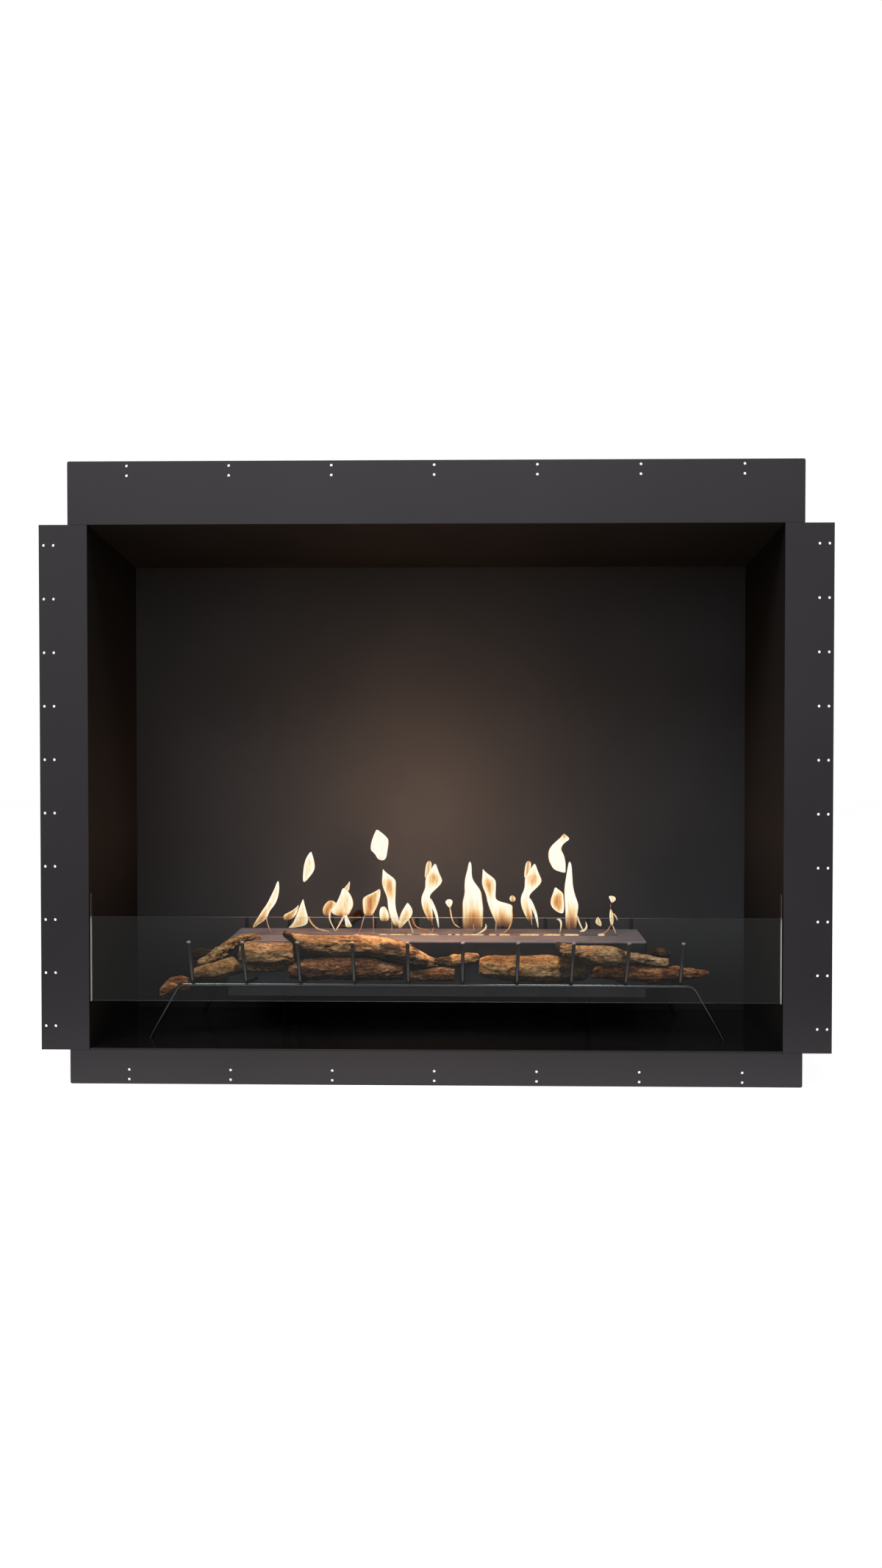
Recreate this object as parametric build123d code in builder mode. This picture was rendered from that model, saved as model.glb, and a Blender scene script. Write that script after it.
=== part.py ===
from build123d import *
import os
from math import cos, pi, sin

# Built-in fireplace insert with a black firebox, a linear ethanol burner, a bent-rod log grate,
# ceramic logs and a low glass screen.  Millimetres.
# +X is to the right, +Y goes into the firebox, +Z is up.  The origin is the centre of the
# fixing-hole pattern of the two side flanges, on their front face.

os.makedirs("parts", exist_ok=True)

# ---- opening and casing ---------------------------------------------------------------------
opening_width = 1068.6
opening_height = 811.0
opening_drop = 2.8          # centre of the opening below the centre of the hole pattern
firebox_depth = 320.0       # front face to the face of the rear liner
side_margin = 29.7          # opening edge to the outside of the casing, left and right
top_margin = 52.1
base_margin = 7.7
casing_depth = 380.0
casing_sheet = 1.5
casing_fold = 20.0          # rim of the back panel
side_fold = 12.0            # folded edges of the side panels
fold_relief = 1.0           # folded edges of the side panels stop this far before the back panel

# ---- flanges --------------------------------------------------------------------------------
flange_sheet = 2.0
fin_width = 44.6            # flange that stands out past the casing
return_depth = 25.0         # leg of the flange that lies along the casing
return_setback = 22.0       # shorter than the flange by this at each end
flange_seam = 0.3
flange_corner = 3.0
hole_diameter = 4.2
hole_edge = 7.1             # flange edge to the outer row of holes
hole_row_gap = 15.0
top_hole_pitch = 157.5
top_hole_count = 7
side_hole_pitch = 82.45
side_hole_count = 10
rivet_head = 8.0
rivet_height = 1.8
top_rivet_count = 7
side_rivet_count = 6

# ---- liners, ceiling and hearth -------------------------------------------------------------
liner_sheet = 1.5
liner_fold = 14.0
liner_overrun = 8.0         # side and rear liners reach this far above the ceiling's front edge
ceiling_drop = 32.5         # ceiling falls this much from front to back
ceiling_seam = 2.0          # dark slot between the ceiling and the rear liner
ceiling_lip = 12.0
ceiling_side_gap = 0.5
ceiling_front_gap = 1.0      # behind the top flange
hearth_thickness = 4.0
hearth_rise = 2.8           # hearth plate's top above the bottom flange's edge
hearth_gap = 0.5
spacer_width = 40.0
spacer_sheet = 1.5
spacer_foot = 18.0
hanger_x = 300.0
spacer_x = 400.0
spacer_height = 300.0       # centre to centre, up and down the walls
spacer_depth = 200.0        # centre to centre, front to back
support_width = 30.0
support_count = 5
screw_head = 8.5
screw_height = 2.2
casing_screw_count = 5

# ---- glass screen ---------------------------------------------------------------------------
glass_height = 130.0
glass_thickness = 4.0
glass_lift = 73.5           # gap under the pane, above the hearth plate
glass_corner = 1.5
channel_sheet = 0.8
channel_depth = 3.0
channel_length = 168.0
channel_setback = 0.5       # behind the rear face of the flange
channel_clearance = 0.5
channel_seat = 0.2          # pane stands this far above the channel's floor

# ---- burner ---------------------------------------------------------------------------------
burner_length = 680.0
burner_depth = 138.0
burner_height = 90.0
burner_rear_gap = 64.0      # rear face of the burner to the rear liner
burner_lift = 60.5          # underside above the hearth plate
burner_sheet = 2.0
burner_corner = 3.0
burner_plate = 3.0
plate_chamfer = 0.8
slot_margin = 34.0          # burner end to slot end
slot_width = 14.0
tool_hole = 3.0
tool_hole_gap = 7.0
tool_hole_inset = 22.4
sight_hole_x = 248.5
sight_hole_inset = 15.8
reservoir_end_gap = 23.0    # inside of the case to the reservoir
reservoir_side_gap = 21.0
reservoir_top_gap = 29.0    # reservoir's rim below the top plate
reservoir_sheet = 1.2
wool_clearance = 0.5
wool_drop = 4.0
shutter_thickness = 2.0
shutter_overlap = 6.0
shutter_parting = 1.0       # slot edge to the open shutter
shutter_clearance = 0.4
shutter_end_overlap = 7.0
rail_ledge = 8.0
rail_sheet = 1.5
rail_end_gap = 0.5
stand_end_inset = 90.0      # burner end to the stand's web
stand_sheet = 2.5
stand_foot = 22.0
stand_inset = 30.0          # burner faces to the stand's ends
stand_leg = 18.0

# ---- grate ----------------------------------------------------------------------------------
rod_diameter = 6.0
front_bar_gap = 39.0        # bar centre to the front face of the burner
rear_bar_gap = 9.0          # bar centre to the rear face of the burner
bar_rise = 25.0             # bar centre above the underside of the burner
front_bar_overrun = 70.0    # corner of the bar past the burner's end
rear_bar_overrun = 27.0
front_foot_spread = 47.5
rear_foot_spread = 40.0
bar_bend = 16.0
rod_count = 10
front_rod_inset = 23.4      # corner of the bar to the outermost rod
rear_rod_inset = 8.4        # burner's end to the outermost rear tine
rod_lap = 3.0               # rod centre above bar centre where they are halved together
lap_clearance = 0.1
rod_bend = 9.0
tine_height = 69.0          # front tine above the rod centre
tine_lean = 18.0
tine_offset = 4.0           # corner of the rod in front of the bar
rod_end_gap = 0.8           # inner rods stop this far in front of the burner
outer_rod_clearance = 9.0   # outer rods pass the burner's ends by this
rod_overrun = 5.0
rear_tine_height = 82.0
rear_tine_lean = 7.0

# ---- ceramic logs ---------------------------------------------------------------------------
log_sides = 10
log_roughness = 0.08        # share of the radius that the knobs take away
log_unit = 1.0              # millimetres to one unit of the log stations
log_row = 680.0             # burner length that the row of logs is laid out for

# ---- reference heights and planes -----------------------------------------------------------
opening_half = opening_width / 2
opening_top = opening_height / 2 - opening_drop
opening_base = -opening_height / 2 - opening_drop
casing_half = opening_half + side_margin
casing_top = opening_top + top_margin
casing_base = opening_base - base_margin
fin_top = casing_top + fin_width
fin_base = casing_base - fin_width
fin_half = casing_half + fin_width
hearth_z = opening_base + hearth_rise
casing_inner_half = casing_half - casing_sheet
casing_inner_top = casing_top - casing_sheet
casing_inner_base = casing_base + casing_sheet
casing_inner_back = casing_depth - casing_sheet
liner_half = opening_half + liner_sheet
liner_top = opening_top + liner_overrun
hearth_under = hearth_z - hearth_thickness
burner_base = hearth_z + burner_lift
burner_top = burner_base + burner_height
burner_front = firebox_depth - burner_rear_gap - burner_depth
burner_back = burner_front + burner_depth
burner_mid = burner_front + burner_depth / 2
plate_under = burner_top - burner_plate
slot_length = burner_length - 2 * slot_margin
reservoir_length = burner_length - 2 * (burner_sheet + reservoir_end_gap)
reservoir_depth = burner_depth - 2 * (burner_sheet + reservoir_side_gap)
reservoir_height = burner_height - burner_plate - burner_sheet - reservoir_top_gap
stand_x = burner_length / 2 - stand_end_inset
bar_z = burner_base + bar_rise
bar_height = bar_z - hearth_z
front_bar_y = burner_front - front_bar_gap
rear_bar_y = burner_back + rear_bar_gap
front_bar_half = burner_length / 2 + front_bar_overrun
rear_bar_half = burner_length / 2 + rear_bar_overrun
front_rod_pitch = 2 * (front_bar_half - front_rod_inset) / (rod_count - 1)
rear_rod_pitch = 2 * (burner_length / 2 - rear_rod_inset) / (rod_count - 1)
rod_z = bar_z + rod_lap
log_bed = rod_z + rod_diameter / 2
rod_radius = rod_diameter / 2


def front_plane(y):
    """Upright plane at depth y, seen from the front: local x is +X, local y is +Z."""
    return Plane.XZ.offset(-y)


def side_plane(x):
    """Upright plane at x, seen from the right: local x is +Y, local y is +Z."""
    return Plane.YZ.offset(x)


def rectangle_between(x0, x1, y0, y1, mode=Mode.ADD):
    """Rectangle in the current sketch from corner to corner."""
    with Locations(((x0 + x1) / 2, (y0 + y1) / 2)):
        Rectangle(abs(x1 - x0), abs(y1 - y0), mode=mode)


def write(piece, label):
    """Labels a finished piece and writes its file."""
    piece.part.label = label
    export_step(piece.part, f"parts/{label}.step")


# ---- flanges: four plates round the opening, with paired fixing holes and a leg on the casing ---
top_rows_z = fin_top - hole_edge - hole_row_gap / 2
base_rows_z = fin_base + hole_edge + hole_row_gap / 2
side_rows_x = fin_half - hole_edge - hole_row_gap / 2
return_half = casing_half - return_setback
side_return_top = opening_top - return_setback
side_return_base = opening_base + return_setback

with BuildPart() as top_flange:
    with BuildSketch(front_plane(0)):
        rectangle_between(-casing_half, casing_half, opening_top, fin_top)
        with Locations((0, top_rows_z)):
            with GridLocations(top_hole_pitch, hole_row_gap, top_hole_count, 2):
                Circle(hole_diameter / 2, mode=Mode.SUBTRACT)
    extrude(amount=-flange_sheet)
    fillet(top_flange.edges().filter_by(Axis.Y).filter_by(GeomType.LINE).group_by(Axis.Z)[-1],
           flange_corner)
    with BuildSketch(Plane.XY.offset(casing_top)):
        rectangle_between(-return_half, return_half, flange_sheet, flange_sheet + return_depth)
    extrude(amount=flange_sheet)
write(top_flange, "top_flange")

with BuildPart() as bottom_flange:
    with BuildSketch(front_plane(0)):
        rectangle_between(-casing_half, casing_half, fin_base, opening_base)
        with Locations((0, base_rows_z)):
            with GridLocations(top_hole_pitch, hole_row_gap, top_hole_count, 2):
                Circle(hole_diameter / 2, mode=Mode.SUBTRACT)
    extrude(amount=-flange_sheet)
    fillet(bottom_flange.edges().filter_by(Axis.Y).filter_by(GeomType.LINE).group_by(Axis.Z)[0],
           flange_corner)
    with BuildSketch(Plane.XY.offset(casing_base)):
        rectangle_between(-return_half, return_half, flange_sheet, flange_sheet + return_depth)
    extrude(amount=-flange_sheet)
write(bottom_flange, "bottom_flange")

with BuildPart() as right_flange:
    with BuildSketch(front_plane(0)):
        rectangle_between(opening_half, fin_half, opening_base + flange_seam,
                          opening_top - flange_seam)
        with Locations((side_rows_x, 0)):
            with GridLocations(hole_row_gap, side_hole_pitch, 2, side_hole_count):
                Circle(hole_diameter / 2, mode=Mode.SUBTRACT)
    extrude(amount=-flange_sheet)
    with BuildSketch(side_plane(casing_half)):
        rectangle_between(flange_sheet, flange_sheet + return_depth, side_return_base,
                          side_return_top)
    extrude(amount=flange_sheet)
write(right_flange, "right_flange")

with BuildPart() as left_flange:
    add(mirror(right_flange.part, about=Plane.YZ, mode=Mode.PRIVATE))
write(left_flange, "left_flange")

# ---- casing: five folded sheet panels --------------------------------------------------------
with BuildPart() as casing_top_panel:
    with BuildSketch(Plane.XY.offset(casing_inner_top)):
        rectangle_between(-casing_half, casing_half, flange_sheet, casing_depth)
    extrude(amount=casing_sheet)
write(casing_top_panel, "casing_top_panel")

with BuildPart() as casing_base_panel:
    with BuildSketch(Plane.XY.offset(casing_base)):
        rectangle_between(-casing_half, casing_half, flange_sheet, casing_depth)
    extrude(amount=casing_sheet)
write(casing_base_panel, "casing_base_panel")

with BuildPart() as casing_right_panel:
    with BuildSketch(front_plane(flange_sheet)):
        rectangle_between(casing_inner_half, casing_half, casing_inner_base, casing_inner_top)
    extrude(amount=-(casing_depth - flange_sheet))
    with BuildSketch(front_plane(flange_sheet)):
        for fold_base in (casing_inner_base, casing_inner_top - casing_sheet):
            rectangle_between(casing_inner_half - side_fold, casing_inner_half, fold_base,
                              fold_base + casing_sheet)
    extrude(amount=-(casing_depth - flange_sheet - casing_fold - fold_relief))
write(casing_right_panel, "casing_right_panel")

with BuildPart() as casing_left_panel:
    add(mirror(casing_right_panel.part, about=Plane.YZ, mode=Mode.PRIVATE))
write(casing_left_panel, "casing_left_panel")

with BuildPart() as casing_back_panel:
    with BuildSketch(front_plane(casing_depth)):
        rectangle_between(-casing_inner_half, casing_inner_half, casing_inner_base,
                          casing_inner_top)
    extrude(amount=casing_fold)
    with BuildSketch(front_plane(casing_inner_back)):
        rectangle_between(-casing_inner_half + casing_sheet, casing_inner_half - casing_sheet,
                          casing_inner_base + casing_sheet, casing_inner_top - casing_sheet)
    extrude(amount=casing_fold, mode=Mode.SUBTRACT)
write(casing_back_panel, "casing_back_panel")

# ---- rivets and screws of the casing ---------------------------------------------------------
rivet_y = flange_sheet + return_depth / 2
screw_y = casing_depth - casing_fold / 2
top_rivet_pitch = 2 * (return_half - return_setback) / (top_rivet_count - 1)
side_rivet_pitch = (side_return_top - side_return_base - 2 * return_setback) / (side_rivet_count - 1)
side_mid_z = (side_return_top + side_return_base) / 2
top_screw_pitch = 2 * (casing_half - casing_fold) / (casing_screw_count + 1)
side_screw_pitch = (casing_top - casing_base) / (casing_screw_count + 1)
casing_mid_z = (casing_top + casing_base) / 2

with BuildPart() as flange_rivets:
    with BuildSketch(Plane.XY.offset(casing_top + flange_sheet)):
        with Locations((0, rivet_y)):
            with GridLocations(top_rivet_pitch, 1, top_rivet_count, 1):
                Circle(rivet_head / 2)
    extrude(amount=rivet_height)
    with BuildSketch(Plane.XY.offset(casing_base - flange_sheet)):
        with Locations((0, rivet_y)):
            with GridLocations(top_rivet_pitch, 1, top_rivet_count, 1):
                Circle(rivet_head / 2)
    extrude(amount=-rivet_height)
    with BuildSketch(side_plane(casing_half + flange_sheet)):
        with Locations((rivet_y, side_mid_z)):
            with GridLocations(1, side_rivet_pitch, 1, side_rivet_count):
                Circle(rivet_head / 2)
    extrude(amount=rivet_height)
    with BuildSketch(side_plane(-casing_half - flange_sheet)):
        with Locations((rivet_y, side_mid_z)):
            with GridLocations(1, side_rivet_pitch, 1, side_rivet_count):
                Circle(rivet_head / 2)
    extrude(amount=-rivet_height)
write(flange_rivets, "flange_rivets")

with BuildPart() as casing_screws:
    with BuildSketch(Plane.XY.offset(casing_top)):
        with Locations((0, screw_y)):
            with GridLocations(top_screw_pitch, 1, casing_screw_count, 1):
                Circle(screw_head / 2)
    extrude(amount=screw_height)
    with BuildSketch(side_plane(casing_half)):
        with Locations((screw_y, casing_mid_z)):
            with GridLocations(1, side_screw_pitch, 1, casing_screw_count):
                Circle(screw_head / 2)
    extrude(amount=screw_height)
    with BuildSketch(side_plane(-casing_half)):
        with Locations((screw_y, casing_mid_z)):
            with GridLocations(1, side_screw_pitch, 1, casing_screw_count):
                Circle(screw_head / 2)
    extrude(amount=-screw_height)
write(casing_screws, "casing_screws")

# ---- liners, hearth plate and sloping ceiling -------------------------------------------------
with BuildPart() as right_liner:
    with BuildSketch(Plane.XY.offset(casing_inner_base)):
        rectangle_between(opening_half, liner_half, flange_sheet, firebox_depth)
        rectangle_between(opening_half, liner_half + liner_fold, flange_sheet,
                          flange_sheet + liner_sheet)
        rectangle_between(opening_half, liner_half + liner_fold, firebox_depth - liner_sheet,
                          firebox_depth)
    extrude(amount=liner_top - casing_inner_base)
write(right_liner, "right_liner")

with BuildPart() as left_liner:
    add(mirror(right_liner.part, about=Plane.YZ, mode=Mode.PRIVATE))
write(left_liner, "left_liner")

with BuildPart() as rear_liner:
    with BuildSketch(front_plane(firebox_depth)):
        rectangle_between(-liner_half - liner_fold, liner_half + liner_fold, casing_inner_base,
                          liner_top)
    extrude(amount=-liner_sheet)
write(rear_liner, "rear_liner")

with BuildPart() as hearth_plate:
    with BuildSketch(Plane.XY.offset(hearth_under)):
        rectangle_between(-opening_half + hearth_gap, opening_half - hearth_gap, flange_sheet,
                          firebox_depth - hearth_gap)
    extrude(amount=hearth_thickness)
write(hearth_plate, "hearth_plate")

support_pitch = (2 * opening_half - 4 * support_width) / (support_count - 1)
with BuildPart() as hearth_supports:
    with BuildSketch(Plane.XY.offset(casing_inner_base)):
        with Locations((0, (flange_sheet + firebox_depth) / 2)):
            with GridLocations(support_pitch, 1, support_count, 1):
                Rectangle(support_width, firebox_depth - flange_sheet - support_width)
    extrude(amount=hearth_under - casing_inner_base)
write(hearth_supports, "hearth_supports")

ceiling_front = flange_sheet + ceiling_front_gap
ceiling_back = firebox_depth - ceiling_seam
ceiling_low = opening_top - ceiling_drop
ceiling_slope = ceiling_drop / (ceiling_back - ceiling_front)
ceiling_skin = liner_sheet * (1 + ceiling_slope**2) ** 0.5
ceiling_half = opening_half - ceiling_side_gap
with BuildPart() as heat_baffle:
    with BuildSketch(side_plane(-ceiling_half)):
        Polygon(
            (ceiling_front, opening_top),
            (ceiling_front, opening_top + ceiling_lip),
            (ceiling_front + liner_sheet, opening_top + ceiling_lip),
            (ceiling_front + liner_sheet, opening_top + ceiling_skin - ceiling_slope * liner_sheet),
            (ceiling_back - liner_sheet, ceiling_low + ceiling_skin + ceiling_slope * liner_sheet),
            (ceiling_back - liner_sheet, ceiling_low + ceiling_lip),
            (ceiling_back, ceiling_low + ceiling_lip),
            (ceiling_back, ceiling_low),
            align=None,
        )
    extrude(amount=2 * ceiling_half)
write(heat_baffle, "heat_baffle")

# straps that hang the ceiling from the casing's top, two at the front lip and two at the rear
with BuildPart() as baffle_hangers:
    for strap_x in (-hanger_x, hanger_x):
        with BuildSketch(side_plane(strap_x - spacer_width / 2)):
            front_face = ceiling_front + liner_sheet
            rectangle_between(front_face, front_face + spacer_sheet,
                              opening_top + ceiling_lip / 2, casing_inner_top)
            rectangle_between(front_face, front_face + spacer_foot,
                              casing_inner_top - spacer_sheet, casing_inner_top)
            rear_face = ceiling_back - liner_sheet
            rectangle_between(rear_face - spacer_sheet, rear_face,
                              ceiling_low + ceiling_lip / 2, casing_inner_top)
            rectangle_between(rear_face - spacer_foot, rear_face,
                              casing_inner_top - spacer_sheet, casing_inner_top)
        extrude(amount=spacer_width)
write(baffle_hangers, "baffle_hangers")

# Z-shaped brackets that hold the liners off the casing
spacer_levels = (-spacer_height / 2 - spacer_width / 2, spacer_height / 2 - spacer_width / 2)
liner_back = firebox_depth + liner_sheet
with BuildPart() as rear_spacers:
    for level in spacer_levels:
        with BuildSketch(Plane.XY.offset(level)):
            for web_x in (-spacer_x, spacer_x):
                rectangle_between(web_x, web_x + spacer_sheet, liner_back, casing_inner_back)
                rectangle_between(web_x, web_x + spacer_foot, liner_back,
                                  liner_back + spacer_sheet)
                rectangle_between(web_x - spacer_foot + spacer_sheet, web_x + spacer_sheet,
                                  casing_inner_back - spacer_sheet, casing_inner_back)
        extrude(amount=spacer_width)
write(rear_spacers, "rear_spacers")

with BuildPart() as side_spacers:
    for level in spacer_levels:
        with BuildSketch(Plane.XY.offset(level)):
            for web_y in (firebox_depth / 2 - spacer_depth / 2, firebox_depth / 2 + spacer_depth / 2):
                rectangle_between(liner_half, casing_inner_half, web_y, web_y + spacer_sheet)
                rectangle_between(liner_half, liner_half + spacer_sheet, web_y,
                                  web_y + spacer_foot)
                rectangle_between(casing_inner_half - spacer_sheet, casing_inner_half,
                                  web_y - spacer_foot + spacer_sheet, web_y + spacer_sheet)
        extrude(amount=spacer_width)
    mirror(about=Plane.YZ)
write(side_spacers, "side_spacers")

# ---- glass screen in its two side channels -----------------------------------------------------
channel_y = flange_sheet + channel_setback
channel_width = glass_thickness + 2 * (channel_sheet + channel_clearance)
glass_base = hearth_z + glass_lift
glass_half = opening_half - channel_sheet - channel_clearance
channel_floor = glass_base - channel_seat

with BuildPart() as glass_screen:
    with BuildSketch(front_plane(channel_y + channel_sheet + channel_clearance)):
        with Locations((0, glass_base + glass_height / 2)):
            RectangleRounded(2 * glass_half, glass_height, glass_corner)
    extrude(amount=-glass_thickness)
write(glass_screen, "glass_screen")

with BuildPart() as right_glass_channel:
    with BuildSketch(Plane.XY.offset(channel_floor - channel_sheet)):
        rectangle_between(opening_half - channel_depth, opening_half, channel_y,
                          channel_y + channel_width)
    extrude(amount=channel_sheet)
    with BuildSketch(Plane.XY.offset(channel_floor)):
        rectangle_between(opening_half - channel_depth, opening_half, channel_y,
                          channel_y + channel_width)
        rectangle_between(opening_half - channel_depth, opening_half - channel_sheet,
                          channel_y + channel_sheet, channel_y + channel_width - channel_sheet,
                          mode=Mode.SUBTRACT)
    extrude(amount=channel_length - channel_sheet)
write(right_glass_channel, "right_glass_channel")

with BuildPart() as left_glass_channel:
    add(mirror(right_glass_channel.part, about=Plane.YZ, mode=Mode.PRIVATE))
write(left_glass_channel, "left_glass_channel")

# ---- linear burner: case, slotted top plate, reservoir with wool, sliding shutter ---------------
with BuildPart() as burner_case:
    with BuildSketch(Plane.XY.offset(burner_base)):
        with Locations((0, burner_mid)):
            RectangleRounded(burner_length, burner_depth, burner_corner)
    extrude(amount=burner_height - burner_plate)
    with BuildSketch(Plane.XY.offset(burner_base + burner_sheet)):
        with Locations((0, burner_mid)):
            Rectangle(burner_length - 2 * burner_sheet, burner_depth - 2 * burner_sheet)
    extrude(amount=burner_height, mode=Mode.SUBTRACT)
write(burner_case, "burner_case")

with BuildPart() as burner_top_plate:
    with BuildSketch(Plane.XY.offset(plate_under)):
        with Locations((0, burner_mid)):
            RectangleRounded(burner_length, burner_depth, burner_corner)
            SlotOverall(slot_length, slot_width, mode=Mode.SUBTRACT)
        with Locations((-tool_hole_gap / 2, burner_front + tool_hole_inset),
                       (tool_hole_gap / 2, burner_front + tool_hole_inset),
                       (sight_hole_x, burner_front + sight_hole_inset)):
            Circle(tool_hole / 2, mode=Mode.SUBTRACT)
    extrude(amount=burner_plate)
    chamfer(burner_top_plate.faces().sort_by(Axis.Z)[-1].outer_wire().edges(), plate_chamfer)
write(burner_top_plate, "burner_top_plate")

reservoir_base = burner_base + burner_sheet
with BuildPart() as burner_reservoir:
    with BuildSketch(Plane.XY.offset(reservoir_base)):
        with Locations((0, burner_mid)):
            Rectangle(reservoir_length, reservoir_depth)
    extrude(amount=reservoir_height)
    with BuildSketch(Plane.XY.offset(reservoir_base + reservoir_sheet)):
        with Locations((0, burner_mid)):
            Rectangle(reservoir_length - 2 * reservoir_sheet, reservoir_depth - 2 * reservoir_sheet)
    extrude(amount=reservoir_height, mode=Mode.SUBTRACT)
write(burner_reservoir, "burner_reservoir")

with BuildPart() as burner_wool:
    with BuildSketch(Plane.XY.offset(reservoir_base + reservoir_sheet)):
        with Locations((0, burner_mid)):
            Rectangle(reservoir_length - 2 * (reservoir_sheet + wool_clearance),
                      reservoir_depth - 2 * (reservoir_sheet + wool_clearance))
    extrude(amount=reservoir_height - reservoir_sheet - wool_drop)
write(burner_wool, "burner_wool")

shutter_top = plate_under - shutter_clearance
shutter_width = slot_width + 2 * shutter_overlap
shutter_half = slot_length / 2 + shutter_end_overlap
shutter_front = burner_mid + slot_width / 2 + shutter_parting
with BuildPart() as burner_shutter:
    with BuildSketch(Plane.XY.offset(shutter_top - shutter_thickness)):
        rectangle_between(-shutter_half, shutter_half, shutter_front,
                          shutter_front + shutter_width)
        with Locations((0, shutter_front + shutter_overlap)):
            Circle(tool_hole / 2, mode=Mode.SUBTRACT)
    extrude(amount=shutter_thickness)
write(burner_shutter, "burner_shutter")

rail_web = shutter_half + shutter_clearance
ledge_top = shutter_top - shutter_thickness - shutter_clearance
rail_front = burner_front + burner_sheet + rail_end_gap
with BuildPart() as right_shutter_rail:
    with BuildSketch(front_plane(rail_front)):
        rectangle_between(rail_web, rail_web + rail_sheet, ledge_top - rail_sheet, plate_under)
        rectangle_between(rail_web - rail_ledge, rail_web + rail_sheet, ledge_top - rail_sheet,
                          ledge_top)
    extrude(amount=-(burner_depth - 2 * burner_sheet - 2 * rail_end_gap))
write(right_shutter_rail, "right_shutter_rail")

with BuildPart() as left_shutter_rail:
    add(mirror(right_shutter_rail.part, about=Plane.YZ, mode=Mode.PRIVATE))
write(left_shutter_rail, "left_shutter_rail")

# folded trestles that carry the burner clear of the hearth
stand_front = burner_front + stand_inset
stand_back = burner_back - stand_inset
with BuildPart() as right_burner_stand:
    with BuildSketch(front_plane(stand_front)):
        rectangle_between(stand_x, stand_x + stand_sheet, hearth_z, burner_base)
        rectangle_between(stand_x - stand_foot, stand_x, hearth_z, hearth_z + stand_sheet)
        rectangle_between(stand_x - stand_foot, stand_x, burner_base - stand_sheet, burner_base)
    extrude(amount=-(stand_back - stand_front))
    with BuildSketch(side_plane(stand_x)):
        rectangle_between(stand_front + stand_leg, stand_back - stand_leg,
                          hearth_z + stand_leg, burner_base - stand_leg)
    extrude(amount=stand_sheet, mode=Mode.SUBTRACT)
write(right_burner_stand, "right_burner_stand")

with BuildPart() as left_burner_stand:
    add(mirror(right_burner_stand.part, about=Plane.YZ, mode=Mode.PRIVATE))
write(left_burner_stand, "left_burner_stand")


# ---- grate: two bent bars on splayed legs, ten fanned rods with upturned tines ------------------
def bent_path(points, bend):
    """Centre line through the points, with its corners rounded."""
    with BuildLine(mode=Mode.PRIVATE) as path:
        FilletPolyline(*points, radius=bend)
    return path.line


def bar_path(y, half, foot_spread):
    """Centre line of a bar with splayed legs, run on past the hearth plate's top."""
    foot = half + foot_spread * (1 + rod_diameter / bar_height)
    foot_z = hearth_z - rod_diameter
    return bent_path([(-foot, y, foot_z), (-half, y, bar_z), (half, y, bar_z), (foot, y, foot_z)],
                     bar_bend)


with BuildPart() as grate_front_bar:
    front_path = bar_path(front_bar_y, front_bar_half, front_foot_spread)
    with BuildSketch(Plane(origin=front_path @ 0, z_dir=front_path % 0)):
        Circle(rod_radius)
    sweep(path=front_path)
    split(bisect_by=Plane.XY.offset(hearth_z), keep=Keep.TOP)
write(grate_front_bar, "grate_front_bar")

with BuildPart() as grate_rear_bar:
    rear_path = bar_path(rear_bar_y, rear_bar_half, rear_foot_spread)
    with BuildSketch(Plane(origin=rear_path @ 0, z_dir=rear_path % 0)):
        Circle(rod_radius)
    sweep(path=rear_path)
    split(bisect_by=Plane.XY.offset(hearth_z), keep=Keep.TOP)
write(grate_rear_bar, "grate_rear_bar")

outer_rod_rear_x = burner_length / 2 + outer_rod_clearance + rod_radius
bar_span = rear_bar_y - front_bar_y
for i in range(rod_count):
    place = i - (rod_count - 1) / 2
    outer = i in (0, rod_count - 1)
    front_x = place * front_rod_pitch
    rear_x = (outer_rod_rear_x if place > 0 else -outer_rod_rear_x) if outer else place * rear_rod_pitch
    fan = (rear_x - front_x) / bar_span
    run = bar_span + rod_overrun if outer else burner_front - front_bar_y + rod_diameter
    tine_reach = tine_offset + tine_lean
    with BuildPart() as grate_rod:
        rod_path = bent_path([(front_x + fan * run, front_bar_y + run, rod_z),
                              (front_x - fan * tine_offset, front_bar_y - tine_offset, rod_z),
                              (front_x - fan * tine_reach, front_bar_y - tine_reach,
                               rod_z + tine_height)], rod_bend)
        with BuildSketch(Plane(origin=rod_path @ 0, z_dir=rod_path % 0)):
            Circle(rod_radius)
        sweep(path=rod_path)
        with BuildSketch(side_plane(front_x - 2 * rod_diameter)):
            with Locations((front_bar_y, bar_z)):
                Circle(rod_radius + lap_clearance)
        extrude(amount=4 * rod_diameter, mode=Mode.SUBTRACT)
        if outer:
            with BuildSketch(side_plane(rear_x - 2 * rod_diameter)):
                with Locations((rear_bar_y, bar_z)):
                    Circle(rod_radius + lap_clearance)
            extrude(amount=4 * rod_diameter, mode=Mode.SUBTRACT)
        else:
            split(bisect_by=front_plane(burner_front - rod_end_gap), keep=Keep.TOP)
    write(grate_rod, f"grate_rod_{i + 1:02d}")

with BuildPart() as grate_rear_tines:
    for i in range(rod_count):
        rear_x = (i - (rod_count - 1) / 2) * rear_rod_pitch
        lean = rear_tine_lean / rear_tine_height
        with BuildSketch(Plane(origin=(rear_x, rear_bar_y, bar_z), z_dir=(0, lean, 1))):
            Circle(rod_radius)
        extrude(amount=(rear_tine_lean**2 + rear_tine_height**2) ** 0.5)
    with BuildSketch(side_plane(-rear_bar_half)):
        with Locations((rear_bar_y, bar_z)):
            Circle(rod_radius + lap_clearance)
    extrude(amount=2 * rear_bar_half, mode=Mode.SUBTRACT)
write(grate_rear_tines, "grate_rear_tines")


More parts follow.
